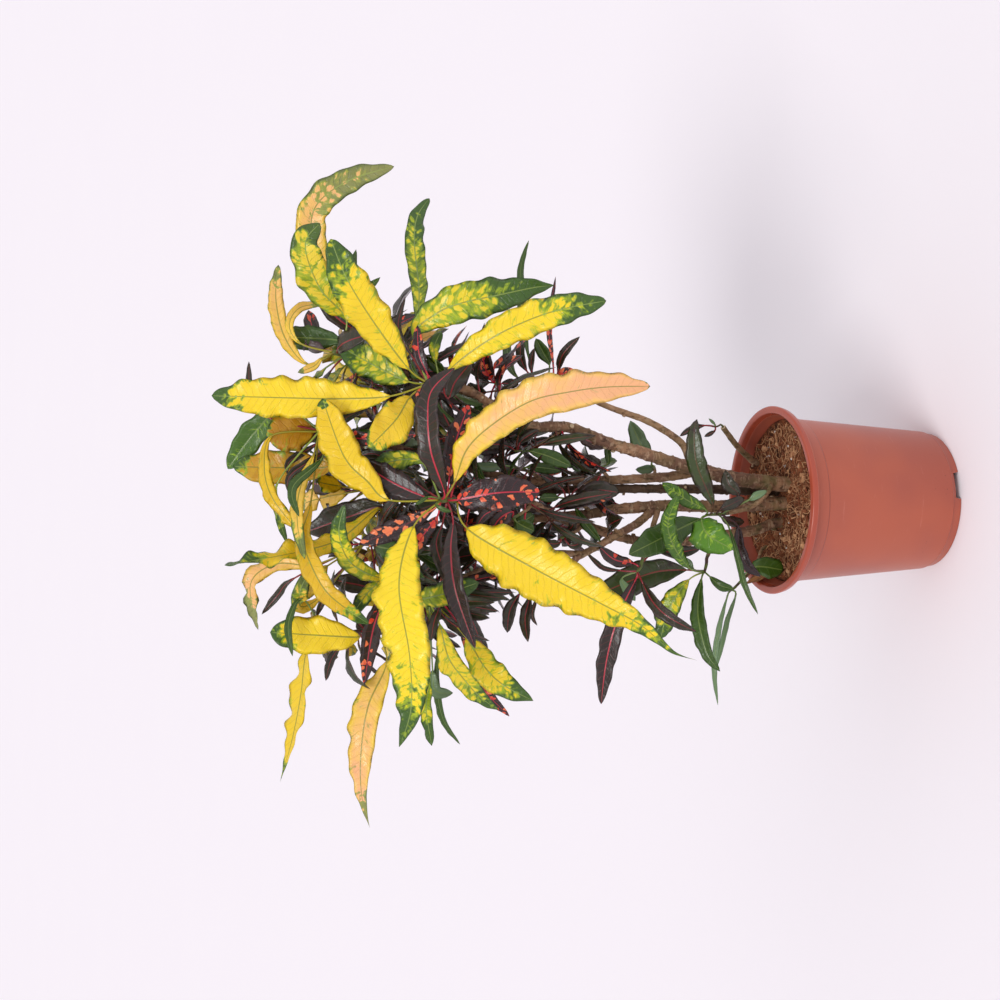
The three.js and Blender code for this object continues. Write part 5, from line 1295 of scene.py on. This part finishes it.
def fresh_leaf_material(pattern, finish):
    """Green leaves with yellow streaks, and the pale young ones."""
    g, close, on = leaf_ground("fresh_leaf", 0.17, 0.45, pattern)
    spots, pale, dark = on.marks
    near_rib = g.rise(g.absolute(on.across), 11.0, 1.0)
    score = g.total(on.feathers, (on.patches, 0.4), (spots, 0.5), (near_rib, 0.08))
    colour = g.coats(
        "#578a1b",
        (dark, "#283813"),
        ((on.grain, 0.25), finish.green),
        ((on.veins, 0.2), "#66802c"),
        (pale, "#6f826a"),
        ((g.rise(score, 0.95, 1.1), g.rise(spots, 0.08, 0.2), 0.62), "#a9ca30"),
        ((on.under, 0.4), "#6f8a5a"),
        ((on.rib, 0.6), "#7e9148"),
    )
    return close(colour, on.height, 0.45, 0.0006)


def bark_material(finish):
    """Brown bark with dark cracks and pale scars, olive low down, paler where thin."""
    g, close = new_material("bark", 0.8, 0.3)
    place = g.places()
    thin, old, _ = g.attribute("span")
    ridges = g.noise(g.stretched(place, (240.0, 240.0, 90.0)), 1.0, 4.0, 0.65)
    lumps = g.noise(place, 150.0, 3.0)
    scars = g.noise(g.stretched(place, (80.0, 80.0, 380.0)), 1.0)
    low = g.rise(g.split(place)[2], 0.3, 0.215)
    algae = g.rise(g.noise(place, 48.0, 3.0), 0.42, 0.6)
    colour = g.coats(
        finish.bark,
        (g.rise(g.noise(place, 26.0, 3.0), 0.38, 0.6), "#9b7658"),
        ((thin, 0.5), "#a0805e"),
        ((g.rise(ridges, 0.5, 0.34), 0.8), "#3b281c"),
        ((g.rise(lumps, 0.54, 0.66), 0.5), "#b3977a"),
        ((g.rise(scars, 0.6, 0.68), 0.45), "#c4a788"),
        ((algae, g.total(0.25, (low, 0.45))), "#5c5a30"),
        ((old, 0.75), "#2c221c"),
    )
    return close(colour, g.total(ridges, (lumps, 0.6)), 0.9, 0.0014)


def pot_material(pot, finish):
    """Moulded plastic: faint mottling, scuffs, dirt low down, painted shade at ledge and rim."""
    g, close = new_material("pot_plastic", 0.36)
    place = g.places()
    height = g.split(place)[2]
    scuffs = g.noise(g.stretched(place, (25.0, 25.0, 260.0)), 1.0, 4.0, 0.7)
    specks = g.rise(g.cells(place, 150.0)["Distance"], 0.14, 0.06)
    patches = g.rise(g.noise(place, 30.0), 0.5, 0.6)
    step = g.absolute(g.minus(height, pot.ledge_height - 0.0004))
    neck = pot.height - pot.band_height
    shadow_under_rim = g.rise(height, neck - 0.009, neck - 0.001)
    below_band = g.rise(height, neck + 0.001, neck - 0.0005)
    lip = g.rise(height, neck + 0.0005, neck + 0.003)
    colour = g.coats(
        finish.pot,
        (g.rise(g.noise(place, 9.0), 0.35, 0.65), "#a65340"),
        ((g.rise(scuffs, 0.62, 0.75), 0.25), "#cf8a76"),
        ((g.rise(height, 0.075, 0.0), specks, patches), "#4a2a22"),
        # painted shade: a dark line along the ledge, where its small overhang casts shadow
        ((g.rise(step, 0.0014, 0.0002), 0.6), "#7a3426"),
        # painted shade: a darker band under the rim, where the rim's shadow falls
        ((shadow_under_rim, below_band, 0.35), "#7c3a2c"),
        ((lip, 0.75), "#a8452e"),
    )
    relief = g.total((g.noise(place, 900.0), 0.3), (scuffs, 0.3))
    return close(colour, relief, 0.25, 0.0004, gloss=g.total(0.36, (lip, -0.14)))


def soil_material(finish):
    """Coir and bark crumbs, from red-brown to nearly black."""
    g, close = new_material("soil", 0.95, 0.2)
    place = g.places()
    crumbs = g.cells(place, 420.0)
    threads = g.noise(g.stretched(place, (500.0, 160.0, 500.0)), 1.0, 4.0, 0.7)
    colour = g.coats(
        "#48281a",
        (crumbs["Color"], finish.soil),
        (g.rise(threads, 0.55, 0.7), "#b87f54"),
        ((g.rise(g.noise(place, 60.0, 3.0), 0.5, 0.35), 0.7), "#3a2216"),
    )
    return close(colour, g.total(crumbs["Distance"], threads), 0.9, 0.0025)


def crumb_material():
    """Loose fibres and chips, each with its own brown."""
    g, close = new_material("coir", 0.9, 0.25)
    place = g.places()
    flecks = g.noise(place, 500.0, 3.0)
    tone = g.attribute("span")[0]
    colour = g.coats("#8a4a2c", (tone, "#f0bb8a"), ((flecks, 0.6), "#5a3523"))
    return close(colour, g.noise(place, 900.0), 0.5, 0.0005)


def dry_leaf_material():
    """A dry brown blade, blotched paler, with fine dark flecks."""
    g, close = new_material("dry_leaf", 0.75, 0.3)
    blotch, fine = g.noise(g.places(), 110.0, 4.0, 0.6), g.noise(g.places(), 600.0)
    mask = g.rise(blotch, 0.35, 0.65)
    colour = g.coats("#6e3d1f", (mask, "#b97c48"), ((fine, 0.4), "#4b2a18"))
    return close(colour, g.total(blotch, fine), 0.6, 0.001)


def twig_material():
    """The soft green and dark red twig tips that the leaves grow from."""
    g, close = new_material("twig", 0.5)
    blotch = g.noise(g.places(), 90.0)
    return close(g.mix(g.rise(blotch, 0.4, 0.6), "#5b6a2a", "#4a3028"), blotch, 0.4, 0.0006)


def floor_material(finish):
    g, close = new_material("floor", 0.9, 0.2)
    return close(g.mix(g.times(g.noise(g.places(), 1.5), 0.08), finish.floor, "#e6dfe8"))


# The plain finishes are two colours in fine noise: roughness, shine, the scale of the noise, the
# colours, and the strength and depth of the relief.
Plain = namedtuple("Plain", "roughness specular scale first second strength depth")
PLAIN = {
    "cut_wood": Plain(0.8, 0.3, 260.0, "#a08767", "#d8c6a4", 0.4, 0.0005),
    "perlite": Plain(0.9, 0.3, 700.0, "#b8aca0", "#f4efe8", 0.7, 0.0008),
    "tie_plastic": Plain(0.45, 0.5, 300.0, "#0b4a38", "#176a52", 0.3, 0.0005),
}


def plain_material(name):
    kind = PLAIN[name]
    g, close = new_material(name, kind.roughness, kind.specular)
    fine = g.noise(g.places(), kind.scale, 3.0)
    return close(g.mix(fine, kind.first, kind.second), fine, kind.strength, kind.depth)


# The pot, the soil and the wood


def arc(centre, radius, start, end, steps):
    """Points of an arc, from one angle to another in degrees."""
    turns = [math.radians(start + (end - start) * i / steps) for i in range(steps + 1)]
    return [(centre[0] + radius * math.cos(t), centre[1] + radius * math.sin(t)) for t in turns]


def pot_section(pot):
    """Radius and height along the section: under the floor, up the wall, over the rim, and in."""
    rim, neck, base, foot, top, wall, ledge = (
        size / MM
        for size in (
            pot.rim_radius, pot.neck_radius, pot.base_radius, pot.foot_radius,
            pot.height, pot.wall, pot.ledge_height,
        )
    )
    band = top - pot.band_height / MM
    return [
        (0, FLOOR_TOP - wall),
        (30, FLOOR_TOP - wall),
        (foot - wall - 1.6, FLOOR_TOP - wall),
        (foot - wall - 0.6, 0.5),
        (foot - wall, 0),
        (foot - 0.5, 0),
        (foot, 0.5),
        (foot + 0.6, FOOT_HEIGHT),
        (base - 0.8, CHAMFER_HEIGHT - 0.8),
        (base, CHAMFER_HEIGHT),
        (neck - 1.9, ledge - 1.2),
        (neck - 0.7, ledge + 0.1),
        (neck - 0.4, ledge + 0.9),
        (neck + 1.4, band - 1.5),
        (neck + 2.4, band - 0.5),
        (rim - 2.4, band),
        (rim - 1.6, band + 0.6),
        *arc((rim - LIP_ROUND, top - LIP_ROUND), LIP_ROUND, 0, 90, 5),
        *arc((LIP_RADIUS + LIP_ROUND, top - LIP_ROUND), LIP_ROUND, 90, 180, 5),
        (neck - wall + 2.2, top - 15),
        (neck - wall + 1.8, ledge + 13),
        (neck - wall, ledge + 7),
        (base - wall, FLOOR_TOP + 3),
        (base - wall - 0.8, FLOOR_TOP + 0.8),
        (base - wall - 3, FLOOR_TOP),
        (30, FLOOR_TOP),
        (0, FLOOR_TOP),
    ]


def cut_away(piece, tool_mesh):
    """Cuts the tool's shape out of a piece for good."""
    tool = bpy.data.objects.new("cutter", tool_mesh)
    bpy.context.scene.collection.objects.link(tool)
    cut = piece.modifiers.new("cut", "BOOLEAN")
    cut.object, cut.operation, cut.solver = tool, "DIFFERENCE", "EXACT"
    graph = bpy.context.evaluated_depsgraph_get()
    result = bpy.data.meshes.new_from_object(piece.evaluated_get(graph))
    piece.modifiers.clear()
    piece.data = result
    bpy.data.objects.remove(tool)
    bpy.data.meshes.remove(tool_mesh)


def notch_cutter(foot):
    """The wedge that leaves a shallow opening in the front of the foot ring."""
    bm = bmesh.new()
    bmesh.ops.create_cube(bm, size=1)
    middle, half = (NOTCH.left + NOTCH.right) / 2, (NOTCH.right - NOTCH.left) / 2
    for vert in bm.verts:
        x, y, z = vert.co * 2
        reach = half + (NOTCH.flare if z < 0 else 0)
        vert.co = Vector((middle + reach * x, -foot + 20 * y, NOTCH.height if z > 0 else -1)) * MM
    return mesh_of(bm, "notch")


def drain_cutter(count):
    bm = bmesh.new()
    radius = DRAIN_RADIUS * MM
    for i in range(count):
        spot = Quaternion(UP, TURN * i / count) @ Vector((DRAIN_RING, 0, FLOOR_TOP))
        bmesh.ops.create_cone(
            bm,
            cap_ends=True,
            segments=24,
            radius1=radius,
            radius2=radius,
            depth=0.012,
            matrix=Matrix.Translation(spot * MM),
        )
    return mesh_of(bm, "drains")


def build_pot(pot, finish):
    """The moulded pot: spun from its section, then cut for the notch and the drain holes."""
    bm = bmesh.new()
    verts = [bm.verts.new(Vector((r, 0, z)) * MM) for r, z in pot_section(pot)]
    edges = [bm.edges.new(pair) for pair in zip(verts, verts[1:])]
    bmesh.ops.spin(
        bm,
        geom=verts + edges,
        axis=UP,
        cent=(0, 0, 0),
        steps=pot.facets,
        angle=TURN,
        use_merge=True,
    )
    close_skin(bm)
    piece = finish_piece(bm, "nursery_pot", [pot_material(pot, finish)], ["pot"])
    cut_away(piece, notch_cutter(pot.foot_radius / MM))
    cut_away(piece, drain_cutter(pot.drain_holes))
    piece.data.set_sharp_from_angle(angle=SHARP)
    bevel = piece.modifiers.new("soft_edges", "BEVEL")
    bevel.width, bevel.segments = 0.0004, 2
    bevel.limit_method, bevel.angle_limit = "ANGLE", SHARP


def soil_height(x, y):
    """How high the soil lies: nearly level, heaped a little towards the back."""
    lumps = math.sin(x / 17 + 1) * math.cos(y / 21) + 0.5 * math.sin(x / 9 - y / 11)
    return SOIL_LEVEL + 1.2 * lumps + 3 * max(0, y / 100)


def crumbs_at(x, y):
    """The crumbly skin of the soil over its broad shape."""
    spot = Vector((x, y, 0))
    coarse = noise.noise(spot / 11)
    fine = noise.noise(spot / 3.6 + Vector((3, 8, 0)))
    return 2.2 * coarse + 1.9 * fine


def round_axis(radius, turn):
    """The place at a radius and an angle round the pot's axis."""
    return radius * math.cos(turn), radius * math.sin(turn)


def build_soil(finish):
    """The potting soil, from the pot's floor to its crumbly top."""
    below = [(0, 12.85), (84.9, 12.85), (88.0, 15.85), (96, 110), (103.2, 196)]
    rings, columns = 74, 200
    rows = rings + len(below) - 1

    def place(vert, u, v):
        i = round(v * rows)
        turn = TURN * u
        if i < len(below):
            r, z = below[i]
            return Vector((*round_axis(r, turn), z))
        r = SOIL_REACH * (1 - (i - len(below)) / (rings - 1))
        x, y = round_axis(r, turn)
        return Vector((x, y, soil_height(x, y) + crumbs_at(x, y) * (0.4 if r > 100 else 1)))

    bm = bmesh.new()
    lay(bm, columns, rows, place)
    close_skin(bm)
    finish_piece(bm, "potting_soil", [soil_material(finish)], ["soil"])


def ground(x, y, over):
    return Vector((x, y, soil_height(x, y) + crumbs_at(x, y) + over))


def free_spot(rng, reach):
    """A random place on the soil that no stem stands on."""
    while True:
        r, turn = reach * math.sqrt(rng.random()), rng.uniform(0, TURN)
        x, y = round_axis(r, turn)
        if all((x - fx) ** 2 + (y - fy) ** 2 > STEM_CLEARANCE**2 for fx, fy in STEM_FEET):
            return x, y


def lump(rng, spot, size, flat, detail, tone):
    """A rough pebble: a ball with its skin pushed in and out, turned any way."""
    bm = bmesh.new()
    layers = new_layers(bm)
    turn = Quaternion((rng.uniform(-1, 1), rng.uniform(-1, 1), rng.uniform(-1, 1), 1)).normalized()
    shift = Vector((rng.random() * 90, rng.random() * 90, 0))
    scale = Vector((size, size * rng.uniform(0.5, 0.9), size * flat))
    for vert in bmesh.ops.create_icosphere(bm, subdivisions=detail, radius=1)["verts"]:
        bulge = 1 + 0.5 * noise.noise(vert.co * 1.4 + shift)
        vert.co = (spot + turn @ (vert.co * bulge * scale)) * MM
        vert[layers.span] = (tone, 0.0, 0.0)
    return bm


def fibre(rng, reach=99):
    """A thin, bent coir fibre on the soil, no farther out than its reach."""
    x, y = free_spot(rng, 97)
    turn, length, bend = rng.uniform(0, TURN), rng.uniform(6, 26), rng.uniform(-1.3, 1.3)
    line = []
    for k in range(4):
        s = k / 3 - 0.5
        heading = turn + bend * s
        px, py = x + length * s * math.cos(heading), y + length * s * math.sin(heading)
        far = math.hypot(px, py)
        if far > reach:
            px, py = px * reach / far, py * reach / far
        line.append(ground(px, py, rng.uniform(-0.2, 3.0)))
    route, thick, tone = Route(line), rng.uniform(0.25, 0.85), rng.random()
    bm = bmesh.new()
    layers = new_layers(bm)
    for vert in tube(bm, route, route.length, (thick, thick * 0.6), 4, length / 5):
        vert[layers.span] = (tone, 0.0, 0.0)
    return bm


def chip(rng):
    spot, size = ground(*free_spot(rng, 94), 0.8), rng.uniform(1.8, 6.5)
    return lump(rng, spot, size, rng.uniform(0.15, 0.45), 1, rng.random() ** 2)


def perlite_bit(rng):
    return lump(rng, ground(*free_spot(rng, 94), 0.5), rng.uniform(0.9, 2.1), 0.8, 2, 1.0)


def build_loose(amount):
    """What lies on the soil: coir fibres and bark chips in one piece, perlite in another."""
    rng = random.Random(11)
    for name, material, kinds in (
        ("coir_and_bark", crumb_material(), [(fibre, amount.fibres), (chip, amount.chips)]),
        ("perlite", plain_material("perlite"), [(perlite_bit, amount.perlite)]),
    ):
        bm = bmesh.new()
        for make, count in kinds:
            for _ in range(count):
                absorb(bm, make(rng))
        finish_piece(bm, name, [material])


def knob(rng, part, route):
    """A short stub where a twig was cut or broke off, with a bare end."""
    mile = route.length * rng.uniform(0.12, 0.95)
    way = route.direction(mile)
    out = Quaternion(way, rng.uniform(0, TURN)) @ way.orthogonal().normalized()
    radius = between(part.radii, mile, route.length)
    root = route.at(mile) + out * (radius - 1.5)
    tip = root + (out + way * rng.uniform(0.2, 0.7)).normalized() * rng.uniform(2.8, 5)
    line = Route([root, root.lerp(tip, 0.5) + way * 0.3, tip])
    thick = min(radius * 0.5, rng.uniform(1.6, 3.0))
    bm = bmesh.new()
    new_layers(bm)
    for vert in tube(bm, line, line.length, (thick * 1.25, thick), 8, 1.6, 0.25):
        if (vert.co / MM - tip).length < thick * 1.3:
            for face in vert.link_faces:
                if len(face.verts) > 4:
                    face.material_index = 1
    return bm


def build_stem(name, limbs, bark, cut_wood, slot):
    """A stem with its branches, each a bent, ridged limb; the cut ends are bare wood."""
    bm = bmesh.new()
    for part, route in limbs:
        stout = part.radii[0] > STOUT
        sides, spacing = (22, 2.2) if stout else (12, 3.2)
        rough = 0.5 + 0.07 * part.radii[0] if stout else 0.35
        wood = bmesh.new()
        layers = new_layers(wood)
        for vert in tube(wood, route, route.length, part.radii, sides, spacing, rough):
            vert[layers.span] = (0.0 if stout else 1.0, float(name == OLD_STEM), 0.0)
        if part.end in CUT_ENDS:
            tip = route.end()[0] * MM
            end = min(wood.faces, key=lambda face: (face.calc_center_median() - tip).length)
            end.material_index = 1
        absorb(bm, wood)
    rng = random.Random(len(name))
    for part, route in limbs:
        for _ in range(int(route.length / 60) if part.radii[0] > 4 else 0):
            absorb(bm, knob(rng, part, route))
    finish_piece(bm, name + "_bark", [bark, cut_wood], [name])


def build_tie(growth):
    """The soft plastic sleeve round the back-centre stem."""
    part, route = growth.limbs["back_centre_crown"][1:]
    mile = 0
    while seen(route.at(mile)).z < TIE.seen_at:
        mile += 1
    middle, way = route.at(mile), route.direction(mile)
    inner = between(part.radii, mile, route.length) + 0.5
    side = way.orthogonal().normalized()
    other = way.cross(side)

    def place(vert, u, v):
        turn, section = TURN * u, TURN * v
        spread = math.cos(section), math.sin(section)
        out, up = (math.copysign(abs(c) ** 0.55, c) for c in spread)
        radius = inner + TIE.wall / 2 * (1 + out)
        ring = (side * math.cos(turn) + other * math.sin(turn)) * radius
        return middle + ring + way * up * TIE.height / 2

    bm = bmesh.new()
    lay(bm, 32, 16, place)
    close_skin(bm)
    finish_piece(bm, "soft_tie", [plain_material("tie_plastic")], ["tie"])


def build_dry_leaf(sizes):
    """The dead leaf that leans from the soil over the rim."""
    line = [
        Vector((*round_axis(r, math.radians(168 - 3 * i)), z)) for i, (r, z) in enumerate(DRY_LEAF)
    ]
    leaf = Leaf("dry", 17, 0, Route(line), 4, Vector((1, -0.2, 1)), "dry", (0, 0, 0))
    bm = bmesh.new()
    skin_leaf(bm, new_layers(bm), leaf, 0.4, sizes, 0)
    finish_piece(bm, "fallen_leaf", [dry_leaf_material()], ["dry_leaf"])


def build_shoot(name, index, growth, sizes, materials, slot):
    """A green twig with its leaves, large and small, let a little way into the wood under it."""
    shoot = SHOOTS[name]
    end, way = growth.limbs[name][2].end()
    bm = bmesh.new()
    new_layers(bm)
    skin = Route([end - way * 3, end + way * 5, *map(drawn, shoot.twig)])
    tube(bm, skin, skin.length, shoot.radii, 10, 3, 0.3, len(SHADES))
    for i, leaf in enumerate(growth.leaves[name]):
        seed = (index * 37 + i * 61) % 101 / 101
        part = bmesh.new()
        skin_leaf(part, new_layers(part), leaf, seed, sizes, SHADES.index(leaf.shade))
        absorb(bm, part)
    finish_piece(bm, name + "_leaves", materials, [name])


# Sizes and colours that a user would change


def length(name, description, default, low, high):
    return FloatProperty(
        name=name,
        description=description,
        default=default,
        min=low,
        max=high,
        unit="LENGTH",
        precision=4,
    )


def colour(name, description, code):
    default = paint(code)[:3]
    return FloatVectorProperty(
        name=name, description=description, default=default, subtype="COLOR", min=0, max=1
    )


def number(name, description, default, low, high):
    return IntProperty(name=name, description=description, default=default, min=low, max=high)


class CrotonPot(bpy.types.PropertyGroup):
    """Sizes of the moulded pot."""

    height: length("Height", "From the foot to the rim's top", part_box("pot")[1][2], 0.2, 0.25)
    rim_radius: length("Rim radius", "Outside of the rolled rim", 0.12, 0.115, 0.125)
    neck_radius: length("Neck radius", "Outside of the wall under the rim", 0.106, 0.1, 0.11)
    base_radius: length("Base radius", "Outside of the wall at its bottom", 0.09, 0.085, 0.095)
    foot_radius: length("Foot radius", "Outside of the foot ring", 0.087, 0.08, 0.09)
    band_height: length("Band height", "Height of the band round the rim", 0.0095, 0.006, 0.014)
    ledge_height: length("Ledge height", "Height of the small step in the wall", 0.197, 0.18, 0.2)
    wall: length("Wall", "Thickness of the plastic", 0.0022, 0.0015, 0.003)
    facets: number("Facets", "Steps round the pot", 128, 48, 192)
    drain_holes: number("Drain holes", "Holes in the floor", 6, 3, 10)


class CrotonSoil(bpy.types.PropertyGroup):
    """How much loose matter lies on the soil."""

    fibres: number("Fibres", "Coir fibres on the soil", 900, 0, 1500)
    chips: number("Chips", "Bark chips on the soil", 170, 0, 400)
    perlite: number("Perlite", "White perlite bits on the soil", 36, 0, 120)


class CrotonLeaves(bpy.types.PropertyGroup):
    """Sizes of the leaves' own detail."""

    thickness: length("Thickness", "Thickness of a blade by its rib", 0.0005, 0.0003, 0.001)
    vein_spacing: length("Vein spacing", "From one side vein to the next", 0.0095, 0.004, 0.015)
    wave_depth: FloatProperty(
        name="Wave depth",
        description="Depth of the short waves along the edges",
        default=1.0,
        min=0,
        max=1.5,
    )


class CrotonFinish(bpy.types.PropertyGroup):
    """The colours that the finishes are mixed from."""

    yellow: colour("Yellow", "Yellow of the sunny leaves", "#fbd90f")
    peach: colour("Peach", "Peach that old sunny leaves turn to", "#f5b681")
    green: colour("Green", "Deep green of tips, nets and green leaves", "#3d5f1a")
    dark: colour("Dark", "Near-black purple of the dusky leaves", "#241517")
    red: colour("Red", "Red blotches on the dusky leaves", "#d63c26")
    bark: colour("Bark", "Brown of the stems", "#735442")
    pot: colour("Pot", "Terracotta colour of the pot", "#b15940")
    soil: colour("Soil", "Mean brown of the soil", "#9c5c38")
    floor: colour("Floor", "The pale floor", "#f3eef2")


# Steps that make the pieces


class CrotonAddPot(bpy.types.Operator):
    """Adds the moulded nursery pot"""

    bl_idname = "croton.add_pot"
    bl_label = "Add pot"

    def execute(self, context):
        build_pot(context.scene.croton_pot, context.scene.croton_finish)
        return {"FINISHED"}


class CrotonAddSoil(bpy.types.Operator):
    """Adds the soil with the fibres, chips and perlite that lie on it"""

    bl_idname = "croton.add_soil"
    bl_label = "Add soil"

    def execute(self, context):
        build_soil(context.scene.croton_finish)
        build_loose(context.scene.croton_soil)
        return {"FINISHED"}


class CrotonAddStems(bpy.types.Operator):
    """Adds the woody stems with their branches and cut stubs"""

    bl_idname = "croton.add_stems"
    bl_label = "Add stems"

    def execute(self, context):
        growth = grow()
        bark, cut_wood = bark_material(context.scene.croton_finish), plain_material("cut_wood")
        for name in STEMS:
            limbs = [(part, route) for stem, part, route in growth.limbs.values() if stem == name]
            build_stem(name, limbs, bark, cut_wood, slot_of(name))
        return {"FINISHED"}


class CrotonAddSmallParts(bpy.types.Operator):
    """Adds the soft tie round a stem and the fallen dry leaf"""

    bl_idname = "croton.add_small_parts"
    bl_label = "Add tie and fallen leaf"

    def execute(self, context):
        build_tie(grow())
        build_dry_leaf(leaf_sizes(context.scene.croton_leaves))
        return {"FINISHED"}


class CrotonAddShoots(bpy.types.Operator):
    """Adds every shoot with its leaves"""

    bl_idname = "croton.add_shoots"
    bl_label = "Add shoots"

    def execute(self, context):
        finish = context.scene.croton_finish
        sizes = leaf_sizes(context.scene.croton_leaves)
        pattern = leaf_pattern_effect(sizes.vein_spacing)
        kinds = (sunny_material, dusky_material, fresh_leaf_material)
        materials = [*(kind(pattern, finish) for kind in kinds), twig_material()]
        growth = grow()
        for index, name in enumerate(SHOOTS):
            build_shoot(name, index, growth, sizes, materials, slot_of(name))
        return {"FINISHED"}


class CrotonSetStage(bpy.types.Operator):
    """Sets the pale floor, the soft studio light and the camera"""

    bl_idname = "croton.set_stage"
    bl_label = "Set stage"

    def execute(self, context):
        build_floor(context.scene.croton_finish)
        add_lights(context.scene)
        add_camera(context.scene)
        return {"FINISHED"}


def slot_of(node):
    """The record's material slot of a node."""
    parts = frame["record"]["subparts"]
    return next(part["material_slot"] for part in parts if part["node"] == node)


Sizes = namedtuple("Sizes", "thickness vein_spacing wave_depth")


def leaf_sizes(leaves):
    return Sizes(leaves.thickness / MM, leaves.vein_spacing / MM, leaves.wave_depth)


def build_floor(finish):
    """A wide floor, a hair under the pot's foot."""
    bm = bmesh.new()
    bmesh.ops.create_grid(bm, x_segments=8, y_segments=8, size=30)
    bmesh.ops.translate(bm, verts=bm.verts, vec=(0, 0, -FLOOR_DROP))
    floor = bpy.data.objects.new("floor", mesh_of(bm, "floor"))
    floor.data.materials.append(floor_material(finish))
    bpy.context.scene.collection.objects.link(floor)
    floor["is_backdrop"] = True


def add_lights(scene):
    """A pale surround, and two broad suns that light the floor evenly however far it goes."""
    world = bpy.data.worlds.new("studio")
    world.use_nodes = True
    backdrop = world.node_tree.nodes["Background"]
    backdrop.inputs["Color"].default_value = paint("#f7f4f9")
    g = Graph(world.node_tree)
    direct = g.add("ShaderNodeLightPath").outputs["Is Camera Ray"]
    g.feed(backdrop.inputs["Strength"], g.math("MULTIPLY_ADD", direct, 1 - SURROUND, SURROUND))
    scene.world = world
    for name, way, breadth, strength in LAMPS:
        lamp = bpy.data.lights.new(name, "SUN")
        lamp.energy, lamp.angle = strength, math.radians(breadth)
        holder = bpy.data.objects.new(name, lamp)
        holder.rotation_euler = Vector(way).to_track_quat("-Z", "Y").to_euler()
        scene.collection.objects.link(holder)
    scene.view_settings.view_transform = "Standard"


def add_camera(scene):
    """The camera stands where the photograph was taken from, rolled by a quarter turn."""
    lens = bpy.data.cameras.new("photograph")
    lens.lens, lens.sensor_width = 72, 36
    camera = bpy.data.objects.new("photograph", lens)
    axes = Vector((0, -DROP, -LEVEL)), Vector((1, 0, 0)), Vector((0, -LEVEL, DROP))
    turn = Matrix(axes).transposed().to_quaternion()
    camera.matrix_world = Matrix.LocRotScale(CAMERA_AT, turn, None)
    scene.collection.objects.link(camera)
    scene.camera = camera


class CrotonPanel(bpy.types.Panel):
    """Lists the plant's sizes, colours and steps in the sidebar"""

    bl_idname = "VIEW3D_PT_croton"
    bl_label = "Potted croton"
    bl_space_type = "VIEW_3D"
    bl_region_type = "UI"
    bl_category = "Croton"

    def draw(self, context):
        for key, (title, kind) in SETTINGS.items():
            box = self.layout.box()
            box.label(text=title)
            for name in kind.__annotations__:
                box.prop(getattr(context.scene, key), name)
        for step in STEPS:
            self.layout.operator(step.bl_idname)


STEPS = [
    CrotonAddPot,
    CrotonAddSoil,
    CrotonAddStems,
    CrotonAddSmallParts,
    CrotonAddShoots,
    CrotonSetStage,
]
SETTINGS = {
    "croton_pot": ("Pot", CrotonPot),
    "croton_soil": ("Soil", CrotonSoil),
    "croton_leaves": ("Leaves", CrotonLeaves),
    "croton_finish": ("Colours", CrotonFinish),
}
CLASSES = [*(kind for _, kind in SETTINGS.values()), *STEPS, CrotonPanel]


def register():
    for kind in CLASSES:
        bpy.utils.register_class(kind)
    for key, (_, kind) in SETTINGS.items():
        setattr(bpy.types.Scene, key, PointerProperty(type=kind))


def unregister():
    for key in SETTINGS:
        delattr(bpy.types.Scene, key)
    for kind in reversed(CLASSES):
        bpy.utils.unregister_class(kind)


def main():
    register()
    bpy.ops.croton.add_pot()
    bpy.ops.croton.add_soil()
    bpy.ops.croton.add_stems()
    bpy.ops.croton.add_small_parts()
    bpy.ops.croton.add_shoots()
    bpy.ops.croton.set_stage()
    boxes = {"cad": CAD_BOX, "visual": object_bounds()}
    plain = {name: [[float(v) for v in corner] for corner in box] for name, box in boxes.items()}


if __name__ == "__main__":
    main()
